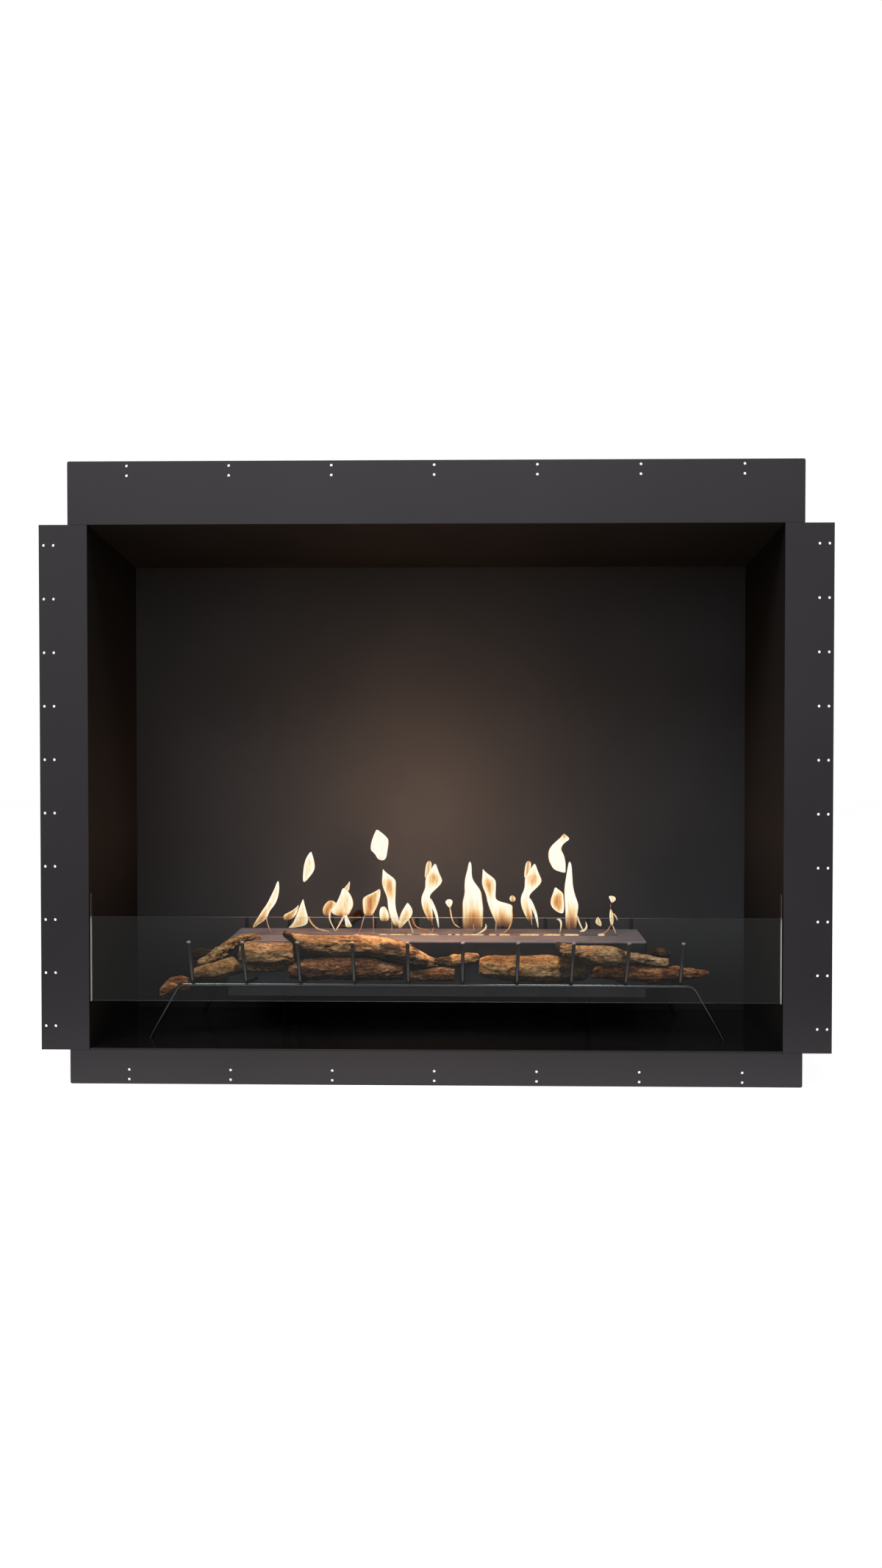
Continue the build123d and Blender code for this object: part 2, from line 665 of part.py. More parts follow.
# ---- ceramic logs -------------------------------------------------------------------------------
def log_place(x):
    """Place along the burner: the row stretches over its length and keeps its size past its ends."""
    inside = max(-log_row / 2, min(log_row / 2, x))
    return inside * burner_length / log_row + x - inside


def ceramic_log(label, stations, face=burner_front, bed=log_bed, turn=0.0):
    """Knobbly log lofted through many-sided sections.

    A station is (x, distance in front of the face, height above the bed, radius), in log units.
    """
    centres = [Vector(log_place(x * log_unit), face - out * log_unit, bed + up * log_unit)
               for x, out, up, _ in stations]
    with BuildPart() as log:
        for n, station in enumerate(stations):
            ahead = centres[min(n + 1, len(centres) - 1)]
            behind = centres[max(n - 1, 0)]
            section = Plane(origin=centres[n], x_dir=(0, 0, 1), z_dir=ahead - behind)
            corners = []
            for k in range(log_sides):
                angle = 2 * pi * k / log_sides
                knob = 1 - log_roughness * (1 + sin(3 * angle + 2 * n + turn)) / 2
                reach = station[3] * knob * log_unit
                corners.append((reach * cos(angle), reach * sin(angle)))
            with BuildSketch(section):
                Polygon(*corners, align=None)
        loft(ruled=True)
    write(log, label)


# lower layer, on the grate's rods
ceramic_log("log_left_branch", [(-388, 25, 9.2, 9.5), (-352, 25, 15, 14.5), (-326, 26, 22.5, 15.5),
                                (-308, 27, 19, 6), (-252, 26, 19, 5)], turn=1.1)
ceramic_log("log_left_lower", [(-231, 21, 12.8, 12), (-205, 21, 15.8, 16.5),
                               (-150, 21, 16.8, 17.6), (-100, 21, 15.4, 16.3),
                               (-72, 21, 13.6, 14.3), (-51, 21, 12.6, 13)], turn=0.3)
ceramic_log("log_centre_lower", [(-46, 22, 5.2, 4.5), (-28, 22, 7, 6.5), (2, 22, 9.5, 9.2),
                                 (31, 22, 9.7, 9.5)], turn=2.0)
ceramic_log("log_centre_thick", [(69, 23, 24, 11), (80, 23, 23.5, 17), (134, 23, 20.1, 20.3),
                                 (188, 23, 20.8, 21.5), (212, 23, 18.2, 18.5), (234, 22, 15, 14.5),
                                 (243, 21, 14, 9)],
            turn=0.8)
ceramic_log("log_right_lower", [(248, 17, 6, 4.5), (262, 16, 10.5, 9), (278, 15, 12.8, 12.3),
                                (301, 16, 12.6, 12.6), (339, 18, 11, 13), (372, 18, 10.8, 11.3),
                                (386, 18, 11.3, 11.3), (404, 18, 9, 9.5), (438, 18, 11, 5)],
            turn=2.6)

# upper layer
ceramic_log("log_left_end", [(-440, 20, -23, 10), (-424, 25, -9, 12), (-396, 25.7, -7, 10.5)],
            turn=0.4)
ceramic_log("log_left_upper", [(-316, 22, 46.5, 11), (-305, 22, 44.5, 16), (-275, 22, 42.5, 18),
                               (-250, 22, 44, 16.5), (-229, 22, 46, 14)], turn=1.7)
ceramic_log("log_centre_upper", [(-246, 22, 76, 3), (-235, 22, 71, 6.5), (-222, 22, 65, 10),
                                 (-205, 22, 57, 14.5), (-150, 22, 55.5, 17.5), (-105, 22, 56, 17),
                                 (-80, 22, 51.5, 17), (-58, 22, 47, 17.2), (-40, 22, 38, 16.5),
                                 (-18, 22, 28.5, 10.5), (-3, 22, 28, 6.5)], turn=0.6)
ceramic_log("log_centre_small", [(1, 22, 28.5, 7), (26, 22, 29.4, 11.2), (54, 22, 33.5, 11),
                                 (66, 22, 36, 8)], turn=1.4)
ceramic_log("log_right_upper", [(191, 38, 63, 3.5), (205, 39, 51.5, 10.5), (230, 36, 47, 12.5),
                                (256, 35, 41.5, 15.5), (285, 31, 39.8, 14), (313, 26, 37, 9.5),
                                (345, 22, 32.5, 9), (372, 21, 27.9, 7)], turn=2.2)
ceramic_log("log_left_rear", [(-402, -4, 33, 8), (-385, -5.5, 35, 11.5), (-368, -6, 32, 11.5),
                              (-352, -10, 24, 8)], turn=0.9)

# pieces at the burner's upper corners, set from its top plate
ceramic_log("log_left_corner", [(-384, 17, -35, 5), (-366, 14, -27, 9.5), (-342, 12, -13, 10.5),
                                (-320, 6, 5, 6.5), (-302, -3, 6, 5.5), (-284, -6, 4.2, 3.8)],
            bed=burner_top, turn=2.9)
ceramic_log("log_right_corner", [(345, 11.2, -14.4, 7.6), (362, 11.2, -16, 9), (376, 11.2, -19.5, 5)],
            bed=burner_top, turn=0.2)

# one log stands on the hearth plate and leans on the rear tines
ceramic_log("log_rear", [(-278, -31, 6.5, 10), (-225, -27, 75, 12), (-172, -19.5, 146.5, 11.5),
                         (-133, -20.5, 174.5, 9)], face=rear_bar_y, bed=hearth_z, turn=1.9)
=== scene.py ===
import math

import bmesh
import bpy
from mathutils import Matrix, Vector, noise


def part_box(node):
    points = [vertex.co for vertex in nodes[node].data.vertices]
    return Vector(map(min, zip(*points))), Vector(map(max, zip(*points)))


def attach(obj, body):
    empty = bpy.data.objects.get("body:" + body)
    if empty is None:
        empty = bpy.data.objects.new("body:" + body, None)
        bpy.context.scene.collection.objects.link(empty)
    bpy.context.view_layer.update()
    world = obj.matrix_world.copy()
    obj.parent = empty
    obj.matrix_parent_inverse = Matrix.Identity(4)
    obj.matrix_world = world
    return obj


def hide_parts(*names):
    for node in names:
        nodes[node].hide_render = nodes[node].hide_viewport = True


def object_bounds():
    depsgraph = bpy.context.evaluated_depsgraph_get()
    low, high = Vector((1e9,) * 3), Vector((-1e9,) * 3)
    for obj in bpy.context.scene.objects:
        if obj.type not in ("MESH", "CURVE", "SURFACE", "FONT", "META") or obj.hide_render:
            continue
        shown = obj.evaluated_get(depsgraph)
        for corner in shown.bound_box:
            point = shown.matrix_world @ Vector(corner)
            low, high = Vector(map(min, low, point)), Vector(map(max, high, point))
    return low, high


# Fireplace insert: powder-coated flanges round a matt black firebox, a clear glass screen, a
# slotted steel burner alight behind a bent-rod grate, and cast ceramic logs.  Metres, in the
# CAD's own frame.

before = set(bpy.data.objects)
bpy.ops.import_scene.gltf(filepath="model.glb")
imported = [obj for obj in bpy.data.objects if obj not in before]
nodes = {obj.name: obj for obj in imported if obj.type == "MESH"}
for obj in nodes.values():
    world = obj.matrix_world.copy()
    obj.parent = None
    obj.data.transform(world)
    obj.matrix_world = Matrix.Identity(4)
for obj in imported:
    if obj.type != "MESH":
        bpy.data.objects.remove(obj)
cad_low, cad_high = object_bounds()
MM = 0.001


# ---- camera ----------------------------------------------------------------------------------
# Looks at the firebox from 2.2 m, a little from the right and from above.  Place, angles and
# focal length were solved from the rows of fixing holes, in pixels of the 1200 x 2133 picture.
photo_height = 2133
focal_pixels = 1942.6
axis_u, axis_v = 600, 1024          # where the lens axis meets the picture
camera_data = bpy.data.cameras.new("picture_camera")
camera_data.sensor_width = 36
camera_data.lens = 36 * focal_pixels / photo_height
camera_data.shift_y = (axis_v - photo_height / 2) / photo_height
camera = bpy.data.objects.new("picture_camera", camera_data)
bpy.context.collection.objects.link(camera)
camera.location = (61.3 * MM, -2187.8 * MM, 99.4 * MM)
camera.rotation_euler = (math.radians(88.767), 0, math.radians(1.33))
bpy.context.scene.camera = camera
bpy.context.view_layer.update()


def at_depth(u, v, y):
    """Point in the row frame at depth y that the picture shows at pixel (u, v)."""
    ray = camera.rotation_euler.to_matrix() @ Vector(((u - axis_u) / focal_pixels,
                                                      (axis_v - v) / focal_pixels, -1))
    return camera.location + ray * ((y - camera.location.y) / ray.y)


# ---- materials -------------------------------------------------------------------------------
def linear(hex_code):
    """Linear colour of an sRGB hex code."""
    parts = [int(hex_code[i:i + 2], 16) / 255 for i in (1, 3, 5)]
    return [p / 12.92 if p <= 0.04045 else ((p + 0.055) / 1.055) ** 2.4 for p in parts] + [1]


def add(tree, kind, inputs=None, stops=(), **settings):
    """Adds a shader node; an input that is a socket is linked, and any other is a value.

    Stops are the places and hex colours of a colour ramp.
    """
    new = tree.nodes.new("ShaderNode" + kind)
    for name, value in settings.items():
        setattr(new, name, value)
    for name, value in (inputs or {}).items():
        if isinstance(value, bpy.types.NodeSocket):
            tree.links.new(value, new.inputs[name])
        else:
            new.inputs[name].default_value = value
    if stops:
        elements = new.color_ramp.elements
        while len(elements) < len(stops):
            elements.new(0.5)
        for element, (place, colour) in zip(elements, stops):
            element.position = place
            element.color = linear(colour)
    return new


def start(name):
    """Empty node material: the material and its tree."""
    finish = bpy.data.materials.new(name)
    finish.use_nodes = True
    finish.node_tree.nodes.clear()
    return finish, finish.node_tree


def finish_metal(name, stops, cloud, grain, lift, looks, stretch=(1, 1, 1)):
    """Metal with a plain finish: its tone drifts in clouds, and a fine grain stands proud of it.

    Cloud and grain are a size in millimetres and a detail each, lift is the grain's height in
    millimetres, looks are inputs of the shader, and stretch draws the grain out.
    """
    finish, tree = start(name)
    place = add(tree, "TexCoord").outputs["Object"]
    drawn = add(tree, "Mapping", {"Vector": place, "Scale": stretch})
    skin = add(tree, "TexNoise", {"Vector": drawn.outputs[0],
                                  "Scale": 1 / (grain[0] * MM), "Detail": grain[1]})
    drift = add(tree, "TexNoise", {"Vector": place, "Scale": 1 / (cloud[0] * MM),
                                   "Detail": cloud[1]})
    tone = add(tree, "ValToRGB", {"Fac": drift.outputs["Fac"]}, stops)
    bump = add(tree, "Bump", {"Height": skin.outputs["Fac"], "Distance": lift * MM})
    shader = add(tree, "BsdfPrincipled", {
        "Base Color": tone.outputs["Color"], "Normal": bump.outputs[0], **looks})
    add(tree, "OutputMaterial", {"Surface": shader.outputs["BSDF"]})
    return finish


# Satin charcoal powder coat: an even soft sheen over a very fine orange peel.
flange_coat = finish_metal(
    "satin_powder_coat_charcoal", [(0.3, "#3b383b"), (0.7, "#403d41")],
    cloud=(250, 3), grain=(1.6, 2), lift=0.02, looks={"Roughness": 0.55, "IOR": 1.5})

# Satin black powder coat on the casing, with a faint mottle where the coat runs thin.
casing_coat = finish_metal(
    "satin_powder_coat_black", [(0.3, "#2a2a2b"), (0.7, "#323233")],
    cloud=(120, 5), grain=(1.8, 2), lift=0.02, looks={"Roughness": 0.5, "IOR": 1.5})

# Zinc-plated mild steel: cool grey, with a faint pale spangle.
zinc_steel, tree = start("zinc_plated_steel")
place = add(tree, "TexCoord").outputs["Object"]
spangle = add(tree, "TexVoronoi", {"Vector": place, "Scale": 1 / (4 * MM)})
tone = add(tree, "ValToRGB", {"Fac": spangle.outputs["Distance"]},
           [(0.0, "#a3a6a8"), (0.8, "#b9bcbe")])
bump = add(tree, "Bump", {"Height": spangle.outputs["Distance"], "Distance": 0.01 * MM})
shader = add(tree, "BsdfPrincipled", {
    "Base Color": tone.outputs["Color"], "Metallic": 1.0, "Roughness": 0.38,
    "Normal": bump.outputs[0]})
add(tree, "OutputMaterial", {"Surface": shader.outputs["BSDF"]})

# Matt black stove paint on the side walls, with painted light: painted shade at the top and the
# foot, and a painted glow of the fire lighter between them.
side_paint_painted_light, tree = start("matt_stove_paint_painted_fire_glow")
place = add(tree, "TexCoord").outputs["Object"]
grit = add(tree, "TexNoise", {"Vector": place, "Scale": 1 / (0.9 * MM), "Detail": 3.0})
cloud = add(tree, "TexNoise", {"Vector": place, "Scale": 1 / (180 * MM), "Detail": 4.0})
drift = add(tree, "Math", {0: cloud.outputs["Fac"], 1: 0.06}, operation="MULTIPLY")
height = add(tree, "SeparateXYZ", {"Vector": place}).outputs["Z"]
level = add(tree, "Math", {0: height, 1: drift.outputs[0]}, operation="ADD")
wall_foot, wall_top = -0.40, 0.44
share = add(tree, "MapRange", {"Value": level.outputs[0], 1: wall_foot, 2: wall_top})
# painted shade at the foot and the top, painted glow of the fire at mid height
tone = add(tree, "ValToRGB", {"Fac": share.outputs[0]},
           [(0.0, "#060606"), (0.16, "#0f0d0c"), (0.42, "#2a2625"), (0.7, "#1c1a19"),
            (1.0, "#0e0d0c")])
bump = add(tree, "Bump", {"Height": grit.outputs["Fac"], "Distance": 0.03 * MM})
shader = add(tree, "BsdfPrincipled", {
    "Base Color": tone.outputs["Color"], "Roughness": 0.8, "Specular IOR Level": 0.2,
    "Normal": bump.outputs[0]})
add(tree, "OutputMaterial", {"Surface": shader.outputs["BSDF"]})

# Heat-resistant matt black stove paint: dry, grainy, with almost no shine.
liner_paint = finish_metal(
    "matt_stove_paint_black", [(0.3, "#1d1b1a"), (0.7, "#22201e")],
    cloud=(180, 4), grain=(0.9, 3), lift=0.03,
    looks={"Roughness": 0.75, "Specular IOR Level": 0.3})

# Primer on the burner's stands, painted dead black as painted shade, which leaves them in the dark
# under it.
stand_paint_painted_shade = finish_metal(
    "black_primer_painted_shade", [(0.3, "#060606"), (0.7, "#0a0a0a")],
    cloud=(1.2, 3), grain=(1.2, 3), lift=0.03,
    looks={"Roughness": 0.9, "Specular IOR Level": 0.1})

# Stove paint again on the rear wall, painted lighter than the side walls as painted light, and dark
# below the burner as painted shade.
rear_paint_painted_light, tree = start("matt_stove_paint_painted_light_and_shade")
place = add(tree, "TexCoord").outputs["Object"]
grit = add(tree, "TexNoise", {"Vector": place, "Scale": 1 / (0.9 * MM), "Detail": 3.0})
cloud = add(tree, "TexNoise", {"Vector": place, "Scale": 1 / (180 * MM), "Detail": 4.0})
tone = add(tree, "ValToRGB", {"Fac": cloud.outputs["Fac"]}, [(0.3, "#373a3f"), (0.7, "#3c3f44")])
height = add(tree, "SeparateXYZ", {"Vector": place}).outputs["Z"]
# painted shade below the burner, fading into the painted light above it
painted_shade_below, painted_light_above = -0.36, -0.24
painted_light_share = add(tree, "MapRange", {"Value": height, 1: painted_shade_below, 2: painted_light_above})
skin = add(tree, "Mix", {"Factor": painted_light_share.outputs[0], 6: linear("#141313"),
                         7: tone.outputs["Color"]}, data_type="RGBA")
bump = add(tree, "Bump", {"Height": grit.outputs["Fac"], "Distance": 0.03 * MM})
shader = add(tree, "BsdfPrincipled", {
    "Base Color": skin.outputs[2], "Roughness": 0.75, "Specular IOR Level": 0.3,
    "Normal": bump.outputs[0]})
add(tree, "OutputMaterial", {"Surface": shader.outputs["BSDF"]})

# Gloss black enamel on the hearth plate, which mirrors what stands on it; its front edge is painted
# pale, a painted highlight.
hearth_enamel, tree = start("gloss_enamel_black")
place = add(tree, "TexCoord").outputs["Object"]
ripple = add(tree, "TexNoise", {"Vector": place, "Scale": 1 / (30 * MM), "Detail": 2.0})
facing = add(tree, "SeparateXYZ", {"Vector": add(tree, "NewGeometry").outputs["Normal"]})
# painted highlight on the faces that look forward
painted_edge_highlight = add(tree, "Math", {0: facing.outputs["Y"], 1: -0.7}, operation="LESS_THAN")
tone = add(tree, "Mix", {"Factor": painted_edge_highlight.outputs[0], 6: linear("#131314"),
                         7: linear("#474648")}, data_type="RGBA")
bump = add(tree, "Bump", {"Height": ripple.outputs["Fac"], "Distance": 0.02 * MM})
shader = add(tree, "BsdfPrincipled", {
    "Base Color": tone.outputs[2], "Roughness": 0.16, "IOR": 1.5,
    "Normal": bump.outputs[0]})
add(tree, "OutputMaterial", {"Surface": shader.outputs["BSDF"]})

# Clear float glass, whose ground edges are pale lines, partly their own frosted grey and partly
# painted highlight; over the fire the top edge is palest, a painted highlight of the fire's light.
float_glass, tree = start("clear_float_glass")
place = add(tree, "TexCoord").outputs["Object"]
facing = add(tree, "SeparateXYZ", {"Vector": add(tree, "NewGeometry").outputs["Normal"]})
flat = add(tree, "Math", {0: facing.outputs["Y"]}, operation="ABSOLUTE")
ground_edge = add(tree, "Math", {0: flat.outputs[0], 1: 0.5}, operation="LESS_THAN")
grind = add(tree, "TexNoise", {"Vector": place, "Scale": 1 / (1.2 * MM), "Detail": 2.0})
edge_tone = add(tree, "ValToRGB", {"Fac": grind.outputs["Fac"]},
                [(0.3, "#3d4143"), (0.7, "#4d5153")])
spot = add(tree, "SeparateXYZ", {"Vector": place})
pane_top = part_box("glass_screen")[1].z
upper = add(tree, "MapRange", {"Value": spot.outputs["Z"], 1: pane_top - 20 * MM,
                               2: pane_top - 10 * MM})
aside = add(tree, "Math", {0: spot.outputs["X"]}, operation="ABSOLUTE")
fire_side, fire_end = 0.20, 0.38     # from the middle, where the fire's light fades out
lit = add(tree, "MapRange", {"Value": aside.outputs[0], 1: fire_side, 2: fire_end, 3: 1.0, 4: 0.0})
# painted highlight of the fire on the top edge
painted_fire_highlight = add(tree, "Math", {0: upper.outputs[0], 1: lit.outputs[0]}, operation="MULTIPLY")
edge_tone_with_painted_highlight = add(tree, "Mix", {"Factor": painted_fire_highlight.outputs[0],
                           6: edge_tone.outputs["Color"], 7: linear("#a9adaf")},
             data_type="RGBA")
pane = add(tree, "BsdfPrincipled", {
    "Base Color": linear("#f4f7f6"), "Roughness": 0.0, "IOR": 1.5, "Transmission Weight": 1.0})
edge = add(tree, "BsdfPrincipled", {"Base Color": edge_tone_with_painted_highlight.outputs[2], "Roughness": 0.35, "IOR": 1.5})
clear = add(tree, "BsdfTransparent")
shadow = add(tree, "LightPath").outputs["Is Shadow Ray"]
glass = add(tree, "MixShader", {0: shadow, 1: pane.outputs[0], 2: clear.outputs[0]})
whole = add(tree, "MixShader", {0: ground_edge.outputs[0], 1: glass.outputs[0], 2: edge.outputs[0]})
add(tree, "OutputMaterial", {"Surface": whole.outputs[0]})

# Black-oxidised stainless strip with a thin bright line along its lip, a painted highlight, drawn
# darker above the glass.
channel_steel, tree = start("stainless_strip_painted_lip_highlight")
place = add(tree, "TexCoord").outputs["Object"]
along = add(tree, "Mapping", {"Vector": place, "Scale": (1, 1, 0.02)})
lines = add(tree, "TexNoise", {"Vector": along.outputs[0], "Scale": 1 / (0.5 * MM)})
tone = add(tree, "ValToRGB", {"Fac": lines.outputs["Fac"]}, [(0.3, "#e2e2e3"), (0.7, "#f4f4f5")])
spot = add(tree, "SeparateXYZ", {"Vector": place})
darker_above_glass = add(tree, "MapRange", {"Value": spot.outputs["Z"], 1: pane_top - 2 * MM,
                                2: pane_top + 2 * MM})
lip_highlight_tone = add(tree, "Mix", {"Factor": darker_above_glass.outputs[0], 6: tone.outputs["Color"],
                             7: linear("#6b625c")}, data_type="RGBA")
lip_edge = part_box("right_glass_channel")[1].x - 2 * MM
from_middle = add(tree, "Math", {0: spot.outputs["X"]}, operation="ABSOLUTE")
on_lip = add(tree, "Math", {0: from_middle.outputs[0], 1: lip_edge}, operation="LESS_THAN")
# painted highlight on the lip; the rest of the strip is near black
skin = add(tree, "Mix", {"Factor": on_lip.outputs[0], 6: linear("#101010"),
                         7: lip_highlight_tone.outputs[2]}, data_type="RGBA")
shader = add(tree, "BsdfPrincipled", {
    "Base Color": skin.outputs[2], "Metallic": 0.3, "Roughness": 0.4})
add(tree, "OutputMaterial", {"Surface": shader.outputs["BSDF"]})

# Fine-brushed stainless that heat has dulled: a long grain, dark cool grey.
burner_steel, tree = start("brushed_stainless_heat_dulled")
place = add(tree, "TexCoord").outputs["Object"]
along = add(tree, "Mapping", {"Vector": place, "Scale": (0.02, 1, 1)})
brush = add(tree, "TexNoise", {"Vector": along.outputs[0], "Scale": 1 / (0.7 * MM), "Detail": 3.0})
tint = add(tree, "TexNoise", {"Vector": place, "Scale": 1 / (60 * MM), "Detail": 3.0})
tone = add(tree, "ValToRGB", {"Fac": tint.outputs["Fac"]}, [(0.3, "#46474b"), (0.7, "#505155")])
sheen = add(tree, "MapRange", {"Value": brush.outputs["Fac"], 3: 0.32, 4: 0.48})
bump = add(tree, "Bump", {"Height": brush.outputs["Fac"], "Distance": 0.02 * MM})
shader = add(tree, "BsdfPrincipled", {
    "Base Color": tone.outputs["Color"], "Metallic": 1.0, "Roughness": sheen.outputs[0],
    "Normal": bump.outputs[0]})
add(tree, "OutputMaterial", {"Surface": shader.outputs["BSDF"]})

# The same steel on the top plate, painted a dull purple grey: a painted reflection of the flames
# over it.
top_plate_painted_reflection = finish_metal(
    "brushed_stainless_painted_reflection", [(0.3, "#7b767e"), (0.55, "#8a858d"), (0.75, "#948a8c")],
    cloud=(45, 4), grain=(0.7, 3), lift=0.02, looks={"Metallic": 0.3, "Roughness": 0.5},
    stretch=(0.02, 1, 1))

# Mill-finish stainless inside the burner: plain, slightly streaked along its length.
inner_steel, tree = start("mill_finish_stainless")
place = add(tree, "TexCoord").outputs["Object"]
along = add(tree, "Mapping", {"Vector": place, "Scale": (0.05, 1, 1)})
streak = add(tree, "TexNoise", {"Vector": along.outputs[0], "Scale": 1 / (2 * MM)})
tone = add(tree, "ValToRGB", {"Fac": streak.outputs["Fac"]}, [(0.3, "#b2b1b0"), (0.7, "#c4c3c2")])
shader = add(tree, "BsdfPrincipled", {
    "Base Color": tone.outputs["Color"], "Metallic": 1.0, "Roughness": 0.35})
add(tree, "OutputMaterial", {"Surface": shader.outputs["BSDF"]})

# Needled ceramic wool: soft white fibre with short crossing strands.
wool_fibre, tree = start("needled_ceramic_wool")
place = add(tree, "TexCoord").outputs["Object"]
tuft = add(tree, "TexNoise", {"Vector": place, "Scale": 1 / (3 * MM), "Detail": 6.0,
                              "Distortion": 2.0})
tone = add(tree, "ValToRGB", {"Fac": tuft.outputs["Fac"]}, [(0.3, "#cfccc4"), (0.7, "#ece9e2")])
bump = add(tree, "Bump", {"Height": tuft.outputs["Fac"], "Distance": 0.6 * MM})
shader = add(tree, "BsdfPrincipled", {
    "Base Color": tone.outputs["Color"], "Roughness": 0.95, "Specular IOR Level": 0.2,
    "Normal": bump.outputs[0]})
add(tree, "OutputMaterial", {"Surface": shader.outputs["BSDF"]})

# Graphite enamel baked on round rod: dark, with a line of light along the top, and pale at the
# upper ends of the front tines, a painted highlight where light from above falls on them.
rod_enamel, tree = start("satin_enamel_graphite")
place = add(tree, "TexCoord").outputs["Object"]
peel = add(tree, "TexNoise", {"Vector": place, "Scale": 1 / (1.5 * MM), "Detail": 3.0})
tone = add(tree, "ValToRGB", {"Fac": peel.outputs["Fac"]}, [(0.3, "#090a0b"), (0.7, "#101213")])
spot = add(tree, "SeparateXYZ", {"Vector": place})
tip_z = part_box("grate_rod_05")[1].z
# painted highlight on the upper ends of the front tines
at_top = add(tree, "MapRange", {"Value": spot.outputs["Z"], 1: tip_z - 3.6 * MM,
                                2: tip_z - 2.2 * MM})
tines_back = 0.12                    # the front tines stand before this
in_front = add(tree, "Math", {0: spot.outputs["Y"], 1: tines_back}, operation="LESS_THAN")
painted_tip_highlight = add(tree, "Math", {0: at_top.outputs[0], 1: in_front.outputs[0]}, operation="MULTIPLY")
skin = add(tree, "Mix", {"Factor": painted_tip_highlight.outputs[0], 6: tone.outputs["Color"],
                         7: linear("#a09f9e")}, data_type="RGBA")
bump = add(tree, "Bump", {"Height": peel.outputs["Fac"], "Distance": 0.04 * MM})
shader = add(tree, "BsdfPrincipled", {
    "Base Color": skin.outputs[2], "Roughness": 0.12, "Specular IOR Level": 0.6, "IOR": 1.5,
    "Normal": bump.outputs[0]})
add(tree, "OutputMaterial", {"Surface": shader.outputs["BSDF"]})

# The same enamel, thicker and glassier on the front bar, which keeps a crisp line of light.
bar_enamel = finish_metal(
    "gloss_enamel_graphite", [(0.3, "#060707"), (0.7, "#0b0c0c")],
    cloud=(1.5, 3), grain=(1.5, 3), lift=0.02,
    looks={"Roughness": 0.12, "Specular IOR Level": 1.0, "IOR": 1.5, "Coat Weight": 1.0,
           "Coat Roughness": 0.1})


def cast_bark(name, stops, grain, seed):
    """Cast ceramic stained as bark, with painted shade in its cracks, its pits and underneath,
    painted highlights on its ridges, and dark patches that are partly char and partly painted
    shade.

    Grain is the size in millimetres of a streak, seed shifts the pattern, and stops are the
    stains from dark to light.
    """
    finish, tree = start(name)
    place = add(tree, "TexCoord").outputs["Object"]
    shifted = add(tree, "Mapping", {"Vector": place, "Location": (seed, 0, 0),
                                    "Scale": (0.35, 1, 1)}).outputs[0]
    stain = add(tree, "TexNoise", {"Vector": shifted, "Scale": 1 / (grain * MM),
                                   "Detail": 8.0, "Roughness": 0.65,
                                   "Distortion": 0.6})
    speck = add(tree, "TexNoise", {"Vector": shifted, "Scale": 1 / (2.2 * MM),
                                   "Detail": 4.0, "Roughness": 0.7})
    blend = add(tree, "Mix", {"Factor": 0.4, 2: stain.outputs["Fac"], 3: speck.outputs["Fac"]})
    tone = add(tree, "ValToRGB", {"Fac": blend.outputs[0]}, stops)
    relief = add(tree, "Attribute", attribute_name="relief")
    # painted shade in the cracks, where the bark sinks below its plain skin
    painted_crack_shade = add(tree, "MapRange", {"Value": relief.outputs["Fac"],
                                   1: -0.8, 2: -0.4, 3: 0.08, 4: 1.0})
    # painted highlight on the ridges that stand proud
    painted_ridge_highlight = add(tree, "MapRange", {"Value": relief.outputs["Fac"],
                                   1: -0.1, 2: 0.5, 3: 1.0, 4: 1.35})
    # painted shade on the skin that faces down
    facing = add(tree, "SeparateXYZ", {"Vector": add(tree, "NewGeometry").outputs["Normal"]})
    painted_underside_shade = add(tree, "MapRange", {"Value": facing.outputs["Z"], 1: -0.5, 2: 0.3, 3: 0.10, 4: 1.0})
    patch = add(tree, "TexNoise", {"Vector": shifted, "Scale": 1 / (16 * MM),
                                   "Detail": 5.0, "Roughness": 0.6})
    char_and_shade = add(tree, "Attribute", attribute_name="char_and_shade")
    # char on the listed spans, part of it painted shade under other logs, with random scorched
    # patches
    char_and_shade_level = add(tree, "Math", {0: char_and_shade.outputs["Fac"], 1: patch.outputs["Fac"]}, operation="ADD")
    char_and_painted_shade = add(tree, "MapRange", {"Value": char_and_shade_level.outputs[0], 1: 0.60, 2: 0.74, 3: 1.0, 4: 0.14})
    # painted shade in the pits of the bump
    painted_pit_shade = add(tree, "MapRange", {"Value": speck.outputs["Fac"], 1: 0.36, 2: 0.43, 3: 0.3, 4: 1.0})
    # painted light and shade over the stains: shade in cracks, pits and underneath, highlight on
    # ridges
    shade = painted_crack_shade
    for factor in (painted_ridge_highlight, painted_underside_shade, char_and_painted_shade, painted_pit_shade):
        shade = add(tree, "Math", {0: shade.outputs[0], 1: factor.outputs[0]}, operation="MULTIPLY")
    stain_with_painted_light = add(tree, "Mix", {"Factor": 1.0, 6: tone.outputs["Color"],
                               7: shade.outputs[0]},
                 data_type="RGBA", blend_type="MULTIPLY")
    bump = add(tree, "Bump", {"Height": speck.outputs["Fac"], "Distance": 0.7 * MM})
    shader = add(tree, "BsdfPrincipled", {
        "Base Color": stain_with_painted_light.outputs[2], "Roughness": 0.9, "Specular IOR Level": 0.2,
        "Normal": bump.outputs[0]})
    add(tree, "OutputMaterial", {"Surface": shader.outputs["BSDF"]})
    return finish


